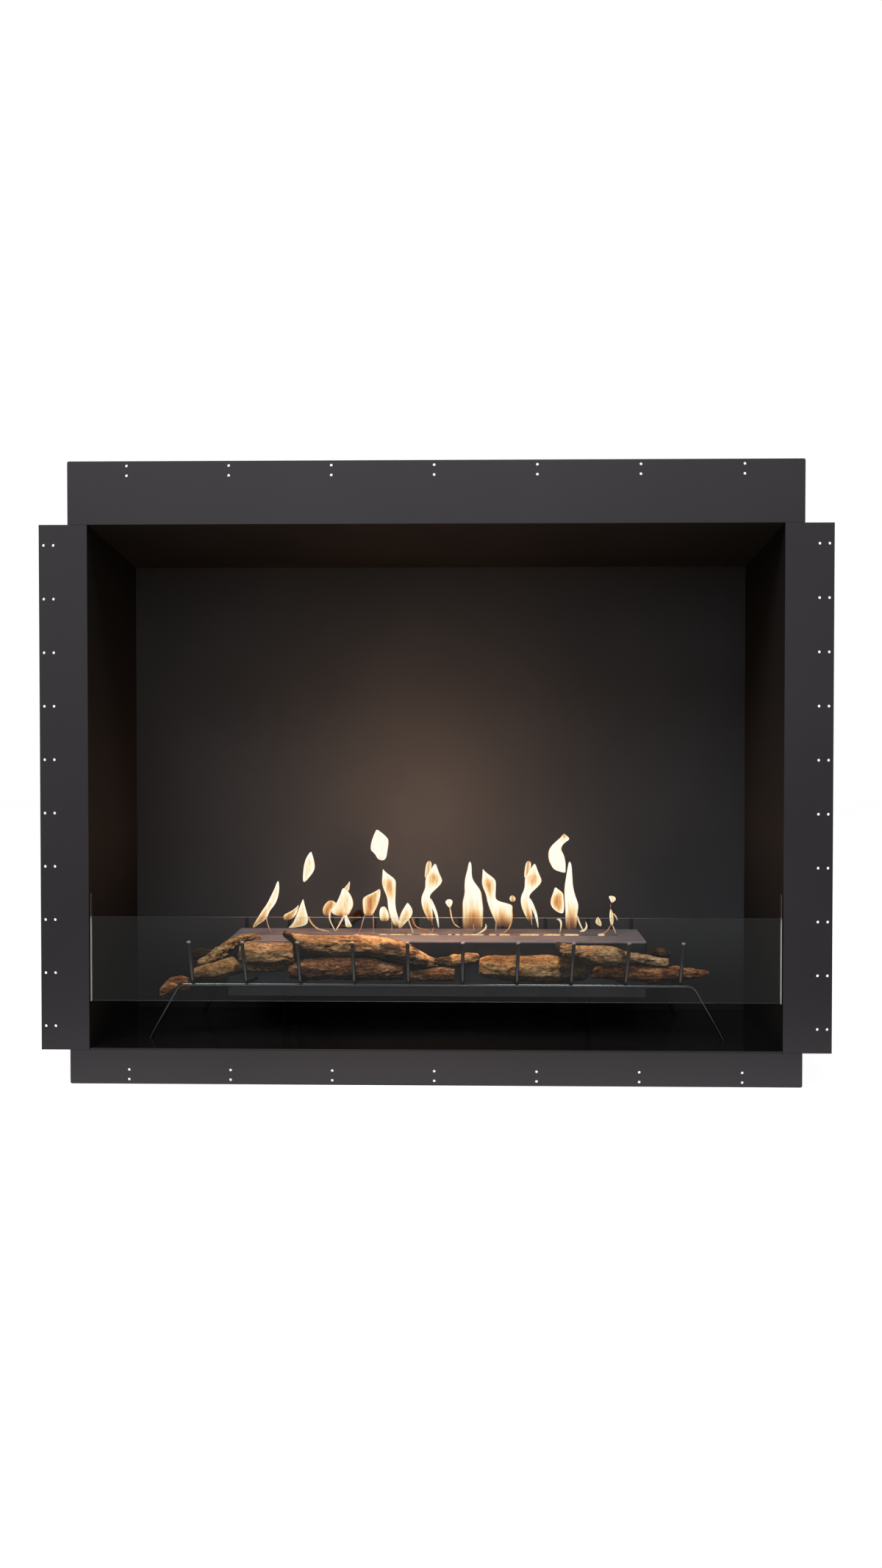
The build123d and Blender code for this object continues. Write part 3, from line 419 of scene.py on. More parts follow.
# A name stands for every CAD piece whose name starts with it and that isn't named itself.
finishes = {
    "top_flange": flange_coat, "bottom_flange": flange_coat,
    "left_flange": flange_coat, "right_flange": flange_coat,
    "casing": casing_coat,
    "flange_rivets": zinc_steel, "casing_screws": zinc_steel, "rear_spacers": zinc_steel,
    "side_spacers": zinc_steel, "baffle_hangers": zinc_steel, "hearth_supports": zinc_steel,
    "left_liner": side_paint_painted_light, "right_liner": side_paint_painted_light, "rear_liner": rear_paint_painted_light,
    "heat_baffle": liner_paint, "left_burner_stand": stand_paint_painted_shade,
    "right_burner_stand": stand_paint_painted_shade,
    "hearth_plate": hearth_enamel, "glass_screen": float_glass,
    "left_glass_channel": channel_steel, "right_glass_channel": channel_steel,
    "burner_case": burner_steel, "burner_top_plate": top_plate_painted_reflection,
    "burner_reservoir": inner_steel, "burner_shutter": inner_steel,
    "left_shutter_rail": inner_steel, "right_shutter_rail": inner_steel,
    "burner_wool": wool_fibre, "grate": rod_enamel, "grate_front_bar": bar_enamel,
}
for name, part in nodes.items():
    for key, finish in finishes.items():
        if name == key or (name.startswith(key + "_") and name not in finishes):
            for holder in part.material_slots:
                holder.material = finish


# ---- shaping tools ---------------------------------------------------------------------------
def pick_nothing():
    """Leaves no object selected."""
    for thing in bpy.context.selected_objects:
        thing.select_set(False)


def take_up(piece):
    """Makes a piece the only selected and active one."""
    pick_nothing()
    piece.select_set(True)
    bpy.context.view_layer.objects.active = piece


def copy_of_node(node, name):
    """Copy of a CAD node with its own mesh, its loose triangles merged."""
    piece = nodes[node].copy()
    piece.data = nodes[node].data.copy()
    piece.name = piece.data.name = name
    piece.parent = None
    for key in list(piece.keys()):
        del piece[key]
    bpy.context.collection.objects.link(piece)
    take_up(piece)
    bpy.ops.object.mode_set(mode="EDIT")
    bpy.ops.mesh.select_all(action="SELECT")
    bpy.ops.mesh.remove_doubles(threshold=0.02 * MM)
    bpy.ops.mesh.normals_make_consistent(inside=False)
    bpy.ops.object.mode_set(mode="OBJECT")
    return piece


def apply_all(piece):
    """Applies a piece's modifiers in their order."""
    take_up(piece)
    for modifier in list(piece.modifiers):
        bpy.ops.object.modifier_apply(modifier=modifier.name)


# ---- ceramic logs ----------------------------------------------------------------------------
lumps = bpy.data.textures.new("log_lumps", "CLOUDS")
lumps.noise_scale = 20 * MM
lumps.noise_depth = 2
ridges = bpy.data.textures.new("bark_ridges", "CLOUDS")
ridges.noise_type = "HARD_NOISE"
ridges.noise_scale = 7 * MM
ridges.noise_depth = 5
pits = bpy.data.textures.new("bark_pits", "VORONOI")
pits.noise_scale = 5 * MM
VOXEL = 1.1 * MM                     # a log's faces, which carry its ridges and pits
UP, DOWN, RIGHT, LEFT = (0, 0, 1), (0, 0, -1), (1, 0, 0), (-1, 0, 0)
LOG_ROW = 1300                       # row of the picture at which columns of a log are read
WHOLE = (-2000, 4000)                # columns far outside the picture
PULL_STEPS = 5
PULL_EASE = 0.08                     # share of a pull's width by which each step is narrower
FACING = 0.3                         # least cosine at which skin faces the way of a pull
CHAR_AND_SHADE_EDGE = 9 * MM                 # over which char and painted shade set in
ROUGH_PATCH = 26 * MM                # size of the rough and the smooth patches of bark
SMOOTHEST, ROUGHEST = 0.25, 1.2      # shares of the full depth of ridges and pits
grain_guide = bpy.data.objects.new("grain_guide", None)
bpy.context.collection.objects.link(grain_guide)


def push_out(piece, texture, depth, guided, group=""):
    """Displaces a piece's skin by a texture, along the grain where it is guided.

    A vertex group says where the texture is felt.
    """
    push = piece.modifiers.new("push", "DISPLACE")
    push.texture = texture
    push.strength = depth * MM
    push.mid_level = 0.5
    push.vertex_group = group
    push.texture_coords = "OBJECT" if guided else "LOCAL"
    if guided:
        push.texture_coords_object = grain_guide
    apply_all(piece)


def grow_skin(piece):
    """Even skin of small faces over a log, softened."""
    skin = piece.modifiers.new("skin", "REMESH")
    skin.mode = "VOXEL"
    skin.voxel_size = VOXEL
    soften = piece.modifiers.new("soften", "SMOOTH")
    soften.iterations = 6
    apply_all(piece)


def pull_out(piece, way, far, left, right):
    """Draws out the skin that faces a way, between two places along X, in eased steps."""
    way = Vector(way)
    for step in range(PULL_STEPS):
        inset = step * PULL_EASE * (right - left)
        bpy.ops.mesh.select_all(action="DESELECT")
        mesh = bmesh.from_edit_mesh(piece.data)
        for vertex in mesh.verts:
            vertex.select = (vertex.normal.dot(way) > FACING
                             and left + inset < vertex.co.x < right - inset)
        mesh.select_flush_mode()
        bmesh.update_edit_mesh(piece.data)
        bpy.ops.transform.translate(value=way * (far * MM / PULL_STEPS))


def carve_log(node, body_finish, lump=4.0, ridge=4.0, pit=1.0, turn=0.0, seed=0.0,
              dark=(), pulls=()):
    """Detailed log in place of its plain solid: lumps, then ridges along the grain, then pits.

    Depths are in millimetres, turn is the grain's angle from the X axis in degrees, dark
    lists where the log is darkened by char and by painted shade, as two columns of the picture and
    how strongly, and pulls where its skin is drawn out: which way, how far, and between which
    columns if not all over.
    """
    piece = copy_of_node(node, node.replace("log_", "bark_"))
    grain_guide.location = (seed, seed / 2, 0)
    grain_guide.rotation_euler = (0, math.radians(-turn), 0)
    grain_guide.scale = (2.2, 1, 1)
    bpy.context.view_layer.update()
    low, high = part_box(node)
    depth = (low.y + high.y) / 2
    grow_skin(piece)
    if pulls:
        bpy.ops.object.mode_set(mode="EDIT")
        for way, far, *columns in pulls:
            left, right = [at_depth(u, LOG_ROW, depth).x for u in columns or WHOLE]
            pull_out(piece, way, far, left, right)
        bpy.ops.object.mode_set(mode="OBJECT")
        grow_skin(piece)
    push_out(piece, lumps, lump, False)
    plain = [(vertex.co.copy(), vertex.normal.copy()) for vertex in piece.data.vertices]
    rough = piece.vertex_groups.new(name="rough")
    for vertex in piece.data.vertices:
        share = 0.6 + 1.2 * noise.noise(vertex.co / ROUGH_PATCH + Vector((9 * seed, 0, 0)))
        rough.add([vertex.index], min(max(share, SMOOTHEST), ROUGHEST), "REPLACE")
    push_out(piece, ridges, ridge, True, "rough")
    push_out(piece, pits, pit, True, "rough")
    piece.vertex_groups.clear()
    # relief: how far the bark stands over the plain skin; the second: how dark it is, from char and
    # from painted shade
    relief = piece.data.attributes.new("relief", "FLOAT", "POINT")
    char_and_shade = piece.data.attributes.new("char_and_shade", "FLOAT", "POINT")
    spans = [(at_depth(a, LOG_ROW, depth).x, at_depth(b, LOG_ROW, depth).x, char_and_shade_level)
             for a, b, char_and_shade_level in dark]
    for vertex, (co, normal), rise, char_and_shade_value in zip(piece.data.vertices, plain, relief.data,
                                                char_and_shade.data):
        rise.value = (vertex.co - co).dot(normal) / (0.5 * (ridge + pit) * MM)
        char_and_shade_value.value = max([
            char_and_shade_level * min(max(min(vertex.co.x - a, b - vertex.co.x) / CHAR_AND_SHADE_EDGE, 0), 1)
            for a, b, char_and_shade_level in spans], default=0)
    bpy.ops.object.shade_smooth()
    piece.data.materials.clear()
    piece.data.materials.append(body_finish)
    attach(piece, "insert")
    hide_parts(node)


# Stains are named for what the photographed pieces look like.
tan_bark = cast_bark("cast_ceramic_tan_bark", [
    (0.36, "#63462b"), (0.45, "#966f49"), (0.52, "#c0976a"), (0.62, "#f2d3a6")],
    grain=24, seed=0.0)
dark_bark = cast_bark("cast_ceramic_dark_bark", [
    (0.36, "#24130b"), (0.46, "#52331f"), (0.55, "#835b3b"), (0.66, "#d4ac80")],
    grain=14, seed=0.3)
red_bark = cast_bark("cast_ceramic_red_bark", [
    (0.36, "#38190b"), (0.45, "#6b3f22"), (0.54, "#99663c"), (0.65, "#dcae76")],
    grain=11, seed=0.6)
gold_bark = cast_bark("cast_ceramic_golden_bark", [
    (0.36, "#5f452a"), (0.45, "#8f683f"), (0.53, "#b58e5e"), (0.64, "#e0c196")],
    grain=30, seed=0.9)
crumbly_bark = cast_bark("cast_ceramic_crumbly_bark", [
    (0.37, "#342215"), (0.46, "#7d5c3b"), (0.54, "#ad8a5a"), (0.65, "#e6cb9b")],
    grain=8, seed=1.2)

carve_log("log_left_branch", gold_bark, lump=2.4, ridge=1.4, pit=0.3, turn=8, seed=0.1,
          dark=[(318, 415, 0.26)],
          pulls=[(DOWN, 2), (UP, 5, 332, 388), (RIGHT, 12, 368, 410)])
carve_log("log_left_lower", dark_bark, ridge=4.5, seed=0.2,
          pulls=[(DOWN, 2), (UP, 5, 398, 540), (LEFT, 6, 380, 412)])
carve_log("log_centre_lower", dark_bark, lump=2.4, ridge=3.0, seed=0.3,
          pulls=[(DOWN, 4), (UP, 4)])
carve_log("log_centre_thick", gold_bark, lump=5.0, ridge=2.4, pit=0.5, seed=0.4,
          dark=[(757, 840, 0.36)], pulls=[(DOWN, 4)])
carve_log("log_right_lower", red_bark, ridge=5.0, pit=1.5, seed=0.5,
          pulls=[(UP, 9, 798, 866), (DOWN, 3, 800, 930), (UP, 3, 900, 960)])
carve_log("log_left_end", red_bark, ridge=5.0, pit=1.5, turn=15, seed=0.6,
          pulls=[(DOWN, 4), (UP, 3, 226, 262)])
carve_log("log_left_upper", tan_bark, ridge=3.2, pit=0.8, seed=0.7,
          pulls=[(DOWN, 7)])
carve_log("log_centre_upper", tan_bark, ridge=3.6, pit=1.0, turn=-8, seed=0.8,
          dark=[(350, 404, 0.3), (512, 620, 0.19)],
          pulls=[(DOWN, 3), (RIGHT, 7, 570, 620)])
carve_log("log_centre_small", crumbly_bark, lump=3.0, ridge=3.6, seed=0.9,
          dark=[(585, 618, 0.25)],
          pulls=[(RIGHT, 4, 635, 670), (LEFT, 5, 570, 610)])
carve_log("log_right_upper", tan_bark, lump=3.0, ridge=3.4, pit=0.8, turn=-12, seed=1.0,
          dark=[(735, 766, 0.3), (836, 930, 0.13)],
          pulls=[(DOWN, 2), (UP, 3, 800, 850)])
carve_log("log_left_rear", dark_bark, lump=2.0, seed=1.1, dark=[(240, 320, 0.2)])
carve_log("log_left_corner", crumbly_bark, lump=4.0, ridge=5.0, pit=2.0, turn=22,
          seed=1.2, pulls=[(DOWN, 3)])
carve_log("log_right_corner", dark_bark, lump=2.0, seed=1.3,
          dark=[(850, 950, 0.2)])
carve_log("log_rear", dark_bark, lump=3.0, turn=50, seed=1.4,
          dark=[(300, 600, 0.3)])
bpy.data.objects.remove(grain_guide)


# ---- flames ----------------------------------------------------------------------------------
# Ethanol flame: cream where it is hottest, orange in its folds, pink and thin in its threads.
# "warmth" runs from 0 in a thread to 1 in the cream, and "veil" is how much of it can be seen.
flame_glow, tree = start("ethanol_flame")
warmth = add(tree, "Attribute", attribute_name="warmth")
veil = add(tree, "Attribute", attribute_name="veil")
place = add(tree, "TexCoord").outputs["Object"]
upright = add(tree, "Mapping", {"Vector": place, "Scale": (1, 1, 0.16)})
lick = add(tree, "TexNoise", {"Vector": upright.outputs[0], "Scale": 1 / (4 * MM), "Detail": 2.0})
waver = add(tree, "MapRange", {"Value": lick.outputs["Fac"], 1: 0.3, 2: 0.7, 3: -0.16, 4: 0.12})
tinted = add(tree, "Math", {0: warmth.outputs["Fac"], 1: waver.outputs[0]}, operation="ADD")
tone = add(tree, "ValToRGB", {"Fac": tinted.outputs[0]},
           [(0.0, "#e0bbb0"), (0.14, "#b8714a"), (0.35, "#d98f50"), (0.58, "#f7cb8e"),
            (0.76, "#ffefca"), (0.92, "#fffaec")])
light = add(tree, "Emission", {"Color": tone.outputs["Color"], "Strength": 1.05})
clear = add(tree, "BsdfTransparent")
whole = add(tree, "MixShader", {0: veil.outputs["Fac"], 1: clear.outputs[0], 2: light.outputs[0]})
add(tree, "OutputMaterial", {"Surface": whole.outputs[0]})

burner_low, burner_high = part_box("burner_top_plate")
slot_y = (burner_low.y + burner_high.y) / 2
PIXEL = (at_depth(601, 1200, slot_y) - at_depth(600, 1200, slot_y)).x    # its width at the slot
SLOT_ROW = 1271.6                    # row of the picture at which the flames stand
RING = 12                            # points round a flame
THREAD_RING = 8                      # points round a thread
NARROWEST, THINNEST = 0.25 * MM, 0.4 * MM
THICKNESS = 0.35                     # of a tongue, as a share of its width
RIM = 0.95                           # share of a tongue's half width at which its rim begins
RIM_WARMTH, RIM_VEIL = 0.38, 0.25    # at a tongue's edge, which is thin and orange
FOLD_TINT, FOLD_VEIL = 0.72, 0.4     # how much a full fold takes from warmth and veil


def colour_ring(piece, value):
    """Sets warmth and veil of the selected ring: value gives both for a vertex."""
    mesh = bmesh.from_edit_mesh(piece.data)
    warmth_layer = mesh.verts.layers.float.get("warmth")
    veil_layer = mesh.verts.layers.float.get("veil")
    for vertex in mesh.verts:
        if vertex.select:
            vertex[warmth_layer], vertex[veil_layer] = value(vertex)
    bmesh.update_edit_mesh(piece.data)


def raise_tongue(piece, stations, shift=0):
    """Lofts one tongue in a flame's mesh, ring on ring from its foot to its tip.

    A station is the picture's row, the tongue's left and right edge there, how much of it is
    seen, and how deep the orange fold in its middle is.
    """
    bpy.ops.mesh.select_all(action="DESELECT")
    before = None
    for row, left, right, seen, fold in stations:
        a, b = at_depth(left + shift, row, slot_y), at_depth(right + shift, row, slot_y)
        centre, half = (a + b) / 2, max((b - a).length / 2, NARROWEST)
        thick = max(half * THICKNESS, THINNEST)
        if before is None:
            bpy.ops.mesh.primitive_circle_add(vertices=RING, radius=1, fill_type="NGON",
                                              location=centre)
            bpy.ops.transform.resize(value=(half, thick, 1), center_override=centre)
        else:
            bpy.ops.mesh.extrude_region_move(
                TRANSFORM_OT_translate={"value": centre - before[0]})
            bpy.ops.transform.resize(value=(half / before[1], thick / before[2], 1),
                                     center_override=centre)
        before = (centre, half, thick)

        def value(vertex):
            edge = min(abs(vertex.co.x - centre.x) / half, 1)
            if edge > RIM:
                return RIM_WARMTH, RIM_VEIL * seen
            inner = (1 - FOLD_TINT * fold * (1 - edge ** 1.5)) * (0.35 + 0.65 * seen)
            return inner, seen * (1 - FOLD_VEIL * fold * (1 - edge))
        colour_ring(piece, value)


def draw_thread(piece, points, seen=0.75, warm=0.1, shift=0):
    """Sweeps one thin thread in a flame's mesh through points: column, row and width."""
    bpy.ops.mesh.select_all(action="DESELECT")
    path = [at_depth(u + shift, v, slot_y) for u, v, width in points]
    widths = [width * PIXEL / 2 for u, v, width in points]
    steps = [b - a for a, b in zip(path, path[1:])]
    turns = [math.atan2(step.x, step.z) for step in steps]
    angles = [turns[0]] + [math.atan2((a + b).x, (a + b).z) for a, b in zip(steps, steps[1:])]
    angles.append(turns[-1])
    for k, centre in enumerate(path):
        if k == 0:
            bpy.ops.mesh.primitive_circle_add(
                vertices=THREAD_RING, radius=widths[0], fill_type="NGON", location=centre,
                rotation=(0, angles[0], 0))
        else:
            bpy.ops.mesh.extrude_region_move(TRANSFORM_OT_translate={"value": steps[k - 1]})
            bpy.ops.transform.rotate(value=angles[k - 1] - angles[k],
                                     orient_axis="Y", orient_type="GLOBAL",
                                     center_override=centre)
            bpy.ops.transform.resize(value=[widths[k] / widths[k - 1]] * 3,
                                     center_override=centre)
        end = 0.5 if k in (0, len(path) - 1) else 1
        colour_ring(piece, lambda vertex: (warm, seen * end))


def light_flame(name, tongues, threads=(), shift=0):
    """One flame of several tongues and threads, closed at foot and tip."""
    mesh = bpy.data.meshes.new(name)
    mesh.attributes.new("warmth", "FLOAT", "POINT")
    mesh.attributes.new("veil", "FLOAT", "POINT")
    piece = bpy.data.objects.new(name, mesh)
    bpy.context.collection.objects.link(piece)
    take_up(piece)
    bpy.ops.object.mode_set(mode="EDIT")
    for stations in tongues:
        raise_tongue(piece, stations, shift)
    for thread in threads:
        draw_thread(piece, *thread, shift=shift)
    bpy.ops.mesh.select_all(action="SELECT")
    bpy.ops.mesh.normals_make_consistent(inside=False)
    bpy.ops.object.mode_set(mode="OBJECT")
    smooth = piece.modifiers.new("smooth", "SUBSURF")
    smooth.levels = smooth.render_levels = 2
    apply_all(piece)
    bpy.ops.object.shade_smooth()
    piece.data.materials.append(flame_glow)
    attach(piece, "insert")


light_flame("flame_01", [
    [(1262, 344, 346, 0.5, 0.5), (1257, 345, 352, 0.6, 0.7), (1252, 348, 361, 0.7, 0.8),
     (1246, 352, 365, 0.9, 0.7), (1239, 356, 367, 1, 0.6), (1234, 360, 372, 1, 0.4),
     (1226, 365, 377, 1, 0.4), (1217, 369, 379.5, 1, 0.4), (1208, 374, 380.4, 1, 0.3),
     (1201, 376, 379.5, 1, 0.1), (1198.5, 378, 379, 0.8, 0)]],
    [([(362.5, 1244, 2), (362.8, 1250, 1.4), (365, 1260, 1.2), (370, 1269.6, 1)],)])
light_flame("flame_02", [
    [(1200, 413, 414.6, 0.8, 0.3), (1197, 411.8, 418, 1, 0.3), (1190, 411.8, 424, 1, 0.35),
     (1184, 412.2, 428.2, 1, 0.35), (1178, 412.8, 429.1, 1, 0.3), (1171.4, 414.6, 427.9, 1, 0.3),
     (1166, 416.8, 426.5, 1, 0.2), (1161, 420.2, 424.5, 1, 0.1), (1158.6, 422.8, 423.8, 0.8, 0)]])
light_flame("flame_03", [
    [(1262, 392, 396, 0.7, 0), (1260, 393.5, 414, 0.6, 0.3), (1256, 398, 420, 0.8, 0.6),
     (1248, 401.7, 419.7, 1, 0.6), (1241, 404.5, 417.6, 1, 0.5), (1234.6, 407, 415.8, 1, 0.3),
     (1227.7, 410, 413.7, 1, 0.1), (1223, 412, 413, 0.8, 0)],
    [(1251.7, 387.2, 393.2, 0.3, 0.9), (1248, 385, 400, 0.6, 0.9), (1244, 385.3, 403.5, 0.9, 0.9),
     (1240.6, 394, 404.8, 0.9, 0.8), (1237, 399.7, 405.5, 0.9, 0.7),
     (1233.7, 403.8, 406.2, 0.9, 0.5), (1231, 405.7, 406.4, 0.7, 0.3)]],
    [([(419, 1246, 2.4), (422, 1253, 2.4), (427, 1259.5, 2), (434, 1264.5, 1.8), (443, 1265.4, 1.6),
       (450, 1267.5, 0.9)], 0.85, 0.5)])
light_flame("flame_04", [
    [(1246, 456.4, 475, 0.5, 0.8), (1240.6, 448, 477.2, 0.9, 0.6), (1234.6, 452.7, 480.7, 1, 0.55),
     (1228.6, 456.8, 481.7, 1, 0.5), (1221, 460.7, 479.6, 1, 0.4), (1215, 463.2, 476, 1, 0.2),
     (1210.7, 464.6, 472.6, 1, 0.1), (1208, 466.7, 469.2, 0.9, 0)],
    [(1212, 468, 475.6, 0.9, 0.5), (1208, 467.5, 475.5, 0.9, 0.6), (1204, 472.3, 476, 0.9, 0.5),
     (1198.7, 475.4, 476.2, 0.8, 0.3)],
    [(1261.6, 470, 480.3, 0.5, 0.5), (1257, 469.6, 478.3, 0.9, 0.4), (1250, 468.7, 474.3, 1, 0.2),
     (1244, 468, 471.8, 1, 0.1)]],
    [([(449.6, 1240, 3), (448, 1246.5, 2.4), (448.9, 1252, 1.8), (453, 1260.2, 1.6),
       (456.4, 1267, 1)], 0.95, 0.7),
     ([(469, 1243, 3.4), (465, 1252, 2.2), (460, 1260.5, 1.8), (456.4, 1267, 1)], 0.95, 0.7)])
light_flame("flame_04_ball", [
    [(1246, 441, 448, 0.3, 1), (1241.4, 439, 449.6, 0.7, 1), (1237, 438.5, 453.3, 0.85, 1),
     (1233, 439.7, 457.3, 0.85, 0.95), (1229, 442.4, 458.5, 0.85, 0.85),
     (1226.4, 445.3, 455.6, 0.85, 0.7), (1224.8, 448.2, 451.6, 0.7, 0.5)]])
light_flame("flame_05", [
    [(1246, 496, 506.8, 0.4, 0.9), (1240.6, 494, 509.4, 0.85, 0.95), (1233, 493, 514, 0.95, 1),
     (1224, 492.3, 517.2, 0.95, 1), (1220, 494.3, 517.9, 0.95, 0.85),
     (1216.6, 502.2, 518.1, 0.95, 0.7), (1212.7, 510.7, 517.9, 0.95, 0.4),
     (1209.3, 515.2, 517.2, 0.8, 0.2)]],
    [([(496.5, 1244, 2), (493, 1255, 1.4), (491.4, 1263.6, 1.2), (486.3, 1270.4, 1)],),
     ([(507.7, 1243, 2.2), (508.5, 1255, 1.6), (508, 1271.3, 1)],)])
light_flame("flame_06", [
    [(1170.5, 517, 523, 0.8, 0.2), (1167, 511.8, 525.8, 1, 0.2), (1162, 510.7, 527, 1, 0.1),
     (1157, 503.6, 527.8, 1, 0.1), (1153.4, 503.4, 528.5, 1, 0.1), (1147.5, 503.9, 529.4, 1, 0.1),
     (1141.5, 505.8, 529.5, 1, 0.1), (1136.4, 507.8, 524.4, 1, 0.1), (1132, 510, 518.8, 1, 0.1),
     (1128.5, 512, 513.5, 0.8, 0)]])
# two flames end in this crook, the second so many columns to the right
CROOK_SHIFT = 136
crook = [(1217.5, 525.2, 538.6, 1, 0.5), (1210.7, 521.8, 539, 1, 0.75),
         (1203.8, 519.4, 539.4, 1, 0.8), (1198, 519, 539.3, 1, 0.6), (1194, 519.6, 535.8, 1, 0.3),
         (1190, 520, 530, 1, 0.1), (1186, 520.5, 524.2, 1, 0), (1182, 520.8, 521.3, 0.8, 0)]
light_flame("flame_07", [
    [(1260, 535.8, 545.2, 0.3, 0.4), (1252, 533, 543.5, 0.9, 0.3), (1243, 530, 540.6, 1, 0.1),
     (1234.6, 527.3, 538.4, 1, 0.1), (1224.3, 527, 538, 1, 0.2)] + crook,
    [(1253.4, 517.6, 529, 0.3, 0.7), (1248, 516, 530.2, 0.8, 0.5), (1241.4, 515.5, 529, 1, 0.4),
     (1236.3, 516.5, 526.4, 1, 0.3), (1233, 519.3, 524, 0.8, 0.2)]],
    [([(528.2, 1238, 1.4), (532.4, 1250, 1.8), (533.6, 1257, 1.4), (532.9, 1268.7, 1)],)])
light_flame("flame_08", [
    [(1262.8, 541.8, 545.6, 0.5, 0.4), (1255, 542.2, 552, 0.8, 0.5), (1248, 543.2, 560, 0.9, 0.6),
     (1241.4, 545.2, 562.3, 1, 0.55), (1235.4, 548.8, 561, 1, 0.3), (1231, 552, 557.5, 1, 0.1),
     (1228, 554, 555, 0.8, 0)]],
    [([(556.3, 1241, 1.6), (555.1, 1250, 2), (559, 1260.2, 1.6), (562.7, 1270, 1.2)], 0.9, 0.6),
     ([(561, 1247, 3), (562.5, 1256, 2.4), (567, 1261.5, 1.8), (574, 1263.4, 1.6),
       (582, 1264.5, 1.6), (587, 1268.7, 1)], 0.8, 0.3),
     ([(586.2, 1270.4, 1.4), (588.5, 1265.5, 1.6), (590.5, 1261, 1)], 0.8, 0.3)])
# two S-shaped flames are alike, the second so many columns to the right
SWAN_SHIFT = 135.3
swan = [
    [(1254, 584, 588.8, 0, 0.8), (1249, 581, 589.4, 0.4, 0.8), (1243, 577.6, 589.2, 0.8, 0.7),
     (1234.6, 574, 588.4, 1, 0.55), (1226, 572.4, 585.7, 1, 0.35), (1219, 573.3, 584.5, 1, 0.1),
     (1214, 575.6, 588.3, 1, 0), (1209, 577.7, 594, 1, 0.1), (1203.8, 578, 599.6, 1, 0.4),
     (1198, 577.7, 603.3, 1, 0.7), (1192, 579, 600.2, 1, 0.7), (1186, 583.3, 597.3, 1, 0.3),
     (1180, 587.8, 595, 1, 0.1), (1174.8, 591, 593, 0.8, 0)],
    [(1195, 577.7, 583, 0.9, 0.6), (1188.5, 577.7, 586, 0.95, 0.7), (1180, 578.7, 587, 0.95, 0.7),
     (1174.8, 579.7, 588, 0.9, 0.6), (1171, 582.1, 585.6, 0.7, 0.5)]]
swan_threads = [([(584.5, 1221, 3), (587.5, 1229, 5.4), (592, 1239, 5), (595.2, 1249, 3.6),
                  (597, 1263, 1.2)], 0.97, 0.86),
                ([(586.5, 1245, 2.4), (588.8, 1260, 1)],)]
light_flame("flame_09", swan, swan_threads)
light_flame("flame_10", [
    [(1234.6, 610.6, 612.8, 0.9, 0.1), (1231, 607.7, 615, 1, 0.2), (1227.7, 605, 616.4, 1, 0.2),
     (1225, 606.5, 616, 1, 0.1), (1223, 609.4, 612.8, 0.8, 0)]],
    [([(611.8, 1232, 3), (613.7, 1245.7, 1.8), (617.1, 1256, 1.6), (621, 1259.4, 1.4),
       (626.5, 1262, 1)], 0.9, 0.55)])
light_flame("flame_11", [
    [(1268, 631, 655, 0, 0.8), (1260, 628.8, 657.2, 0.2, 0.8), (1251, 628.4, 658, 0.5, 0.8),
     (1243, 628.6, 658, 0.78, 0.7), (1236, 628.7, 658.4, 0.95, 0.5),
     (1227, 628.4, 657.2, 1, 0.35), (1220, 630.4, 656.2, 1, 0.1), (1213, 631.8, 655.5, 1, 0),
     (1206.4, 631.3, 651.2, 1, 0), (1198, 632, 644.1, 1, 0), (1191, 633.3, 642, 1, 0),
     (1182.5, 636, 642, 1, 0), (1175.6, 637, 641.5, 1, 0), (1172, 638.6, 640, 0.8, 0)]],
    [([(648, 1270.5, 1), (654, 1268, 1.6), (659, 1265, 3.4), (662, 1260.5, 2.6),
       (660.5, 1256, 0.8)], 0.95, 0.75),
     ([(644, 1255, 1.6), (645, 1269, 1)],), ([(655, 1250, 2), (655.5, 1262, 1.2)], 0.9, 0.6)])
light_flame("flame_12", [
    [(1262, 675, 696, 0, 0.8), (1256, 674, 697, 0.25, 0.8), (1250, 671.5, 697.6, 0.6, 0.7),
     (1243, 668, 698, 0.9, 0.6), (1235.4, 665, 698, 1, 0.4), (1231, 663.5, 698.7, 1, 0.2),
     (1228.3, 663, 689, 1, 0.1), (1225, 662.3, 674.5, 1, 0.1)]
    + [(row, left + CROOK_SHIFT, right + CROOK_SHIFT, seen, fold)
       for row, left, right, seen, fold in crook]],
    [([(675.2, 1250, 2), (674.7, 1261, 1.4), (674.7, 1268, 1)],),
     ([(697.6, 1240, 2.4), (695.7, 1257.6, 2), (690, 1266.5, 1.6), (680, 1271, 1)], 0.85, 0.4)])
light_flame("flame_13", [
    [(1227, 695.7, 699, 0.6, 0.8), (1223.5, 692.4, 702.5, 0.9, 0.7), (1220, 693.6, 700.8, 0.9, 0.6),
     (1217.7, 695.7, 697.7, 0.6, 0.5)]])
light_flame("flame_14", swan, swan_threads + [
    ([(582, 1266.5, 1), (586, 1264, 1.6), (581, 1263.5, 0.8)], 0.6, 0.2)], shift=SWAN_SHIFT)
light_flame("flame_15", [
    [(1187.3, 766.6, 769.5, 0.8, 0.2), (1184.5, 757.2, 769.8, 1, 0.2), (1182.5, 752.5, 770, 1, 0.2),
     (1175.6, 748.3, 770.5, 1, 0.15), (1169, 745.5, 769.5, 1, 0), (1162, 745.2, 767.7, 1, 0),
     (1156, 746.2, 763.6, 1, 0), (1151, 749.5, 764.8, 1, 0), (1145.7, 754.6, 769, 1, 0.1),
     (1141.5, 759.7, 776.8, 0.95, 0.3), (1138, 763.5, 772.5, 0.9, 0.6),
     (1134, 766.7, 768, 0.7, 0.6)]])
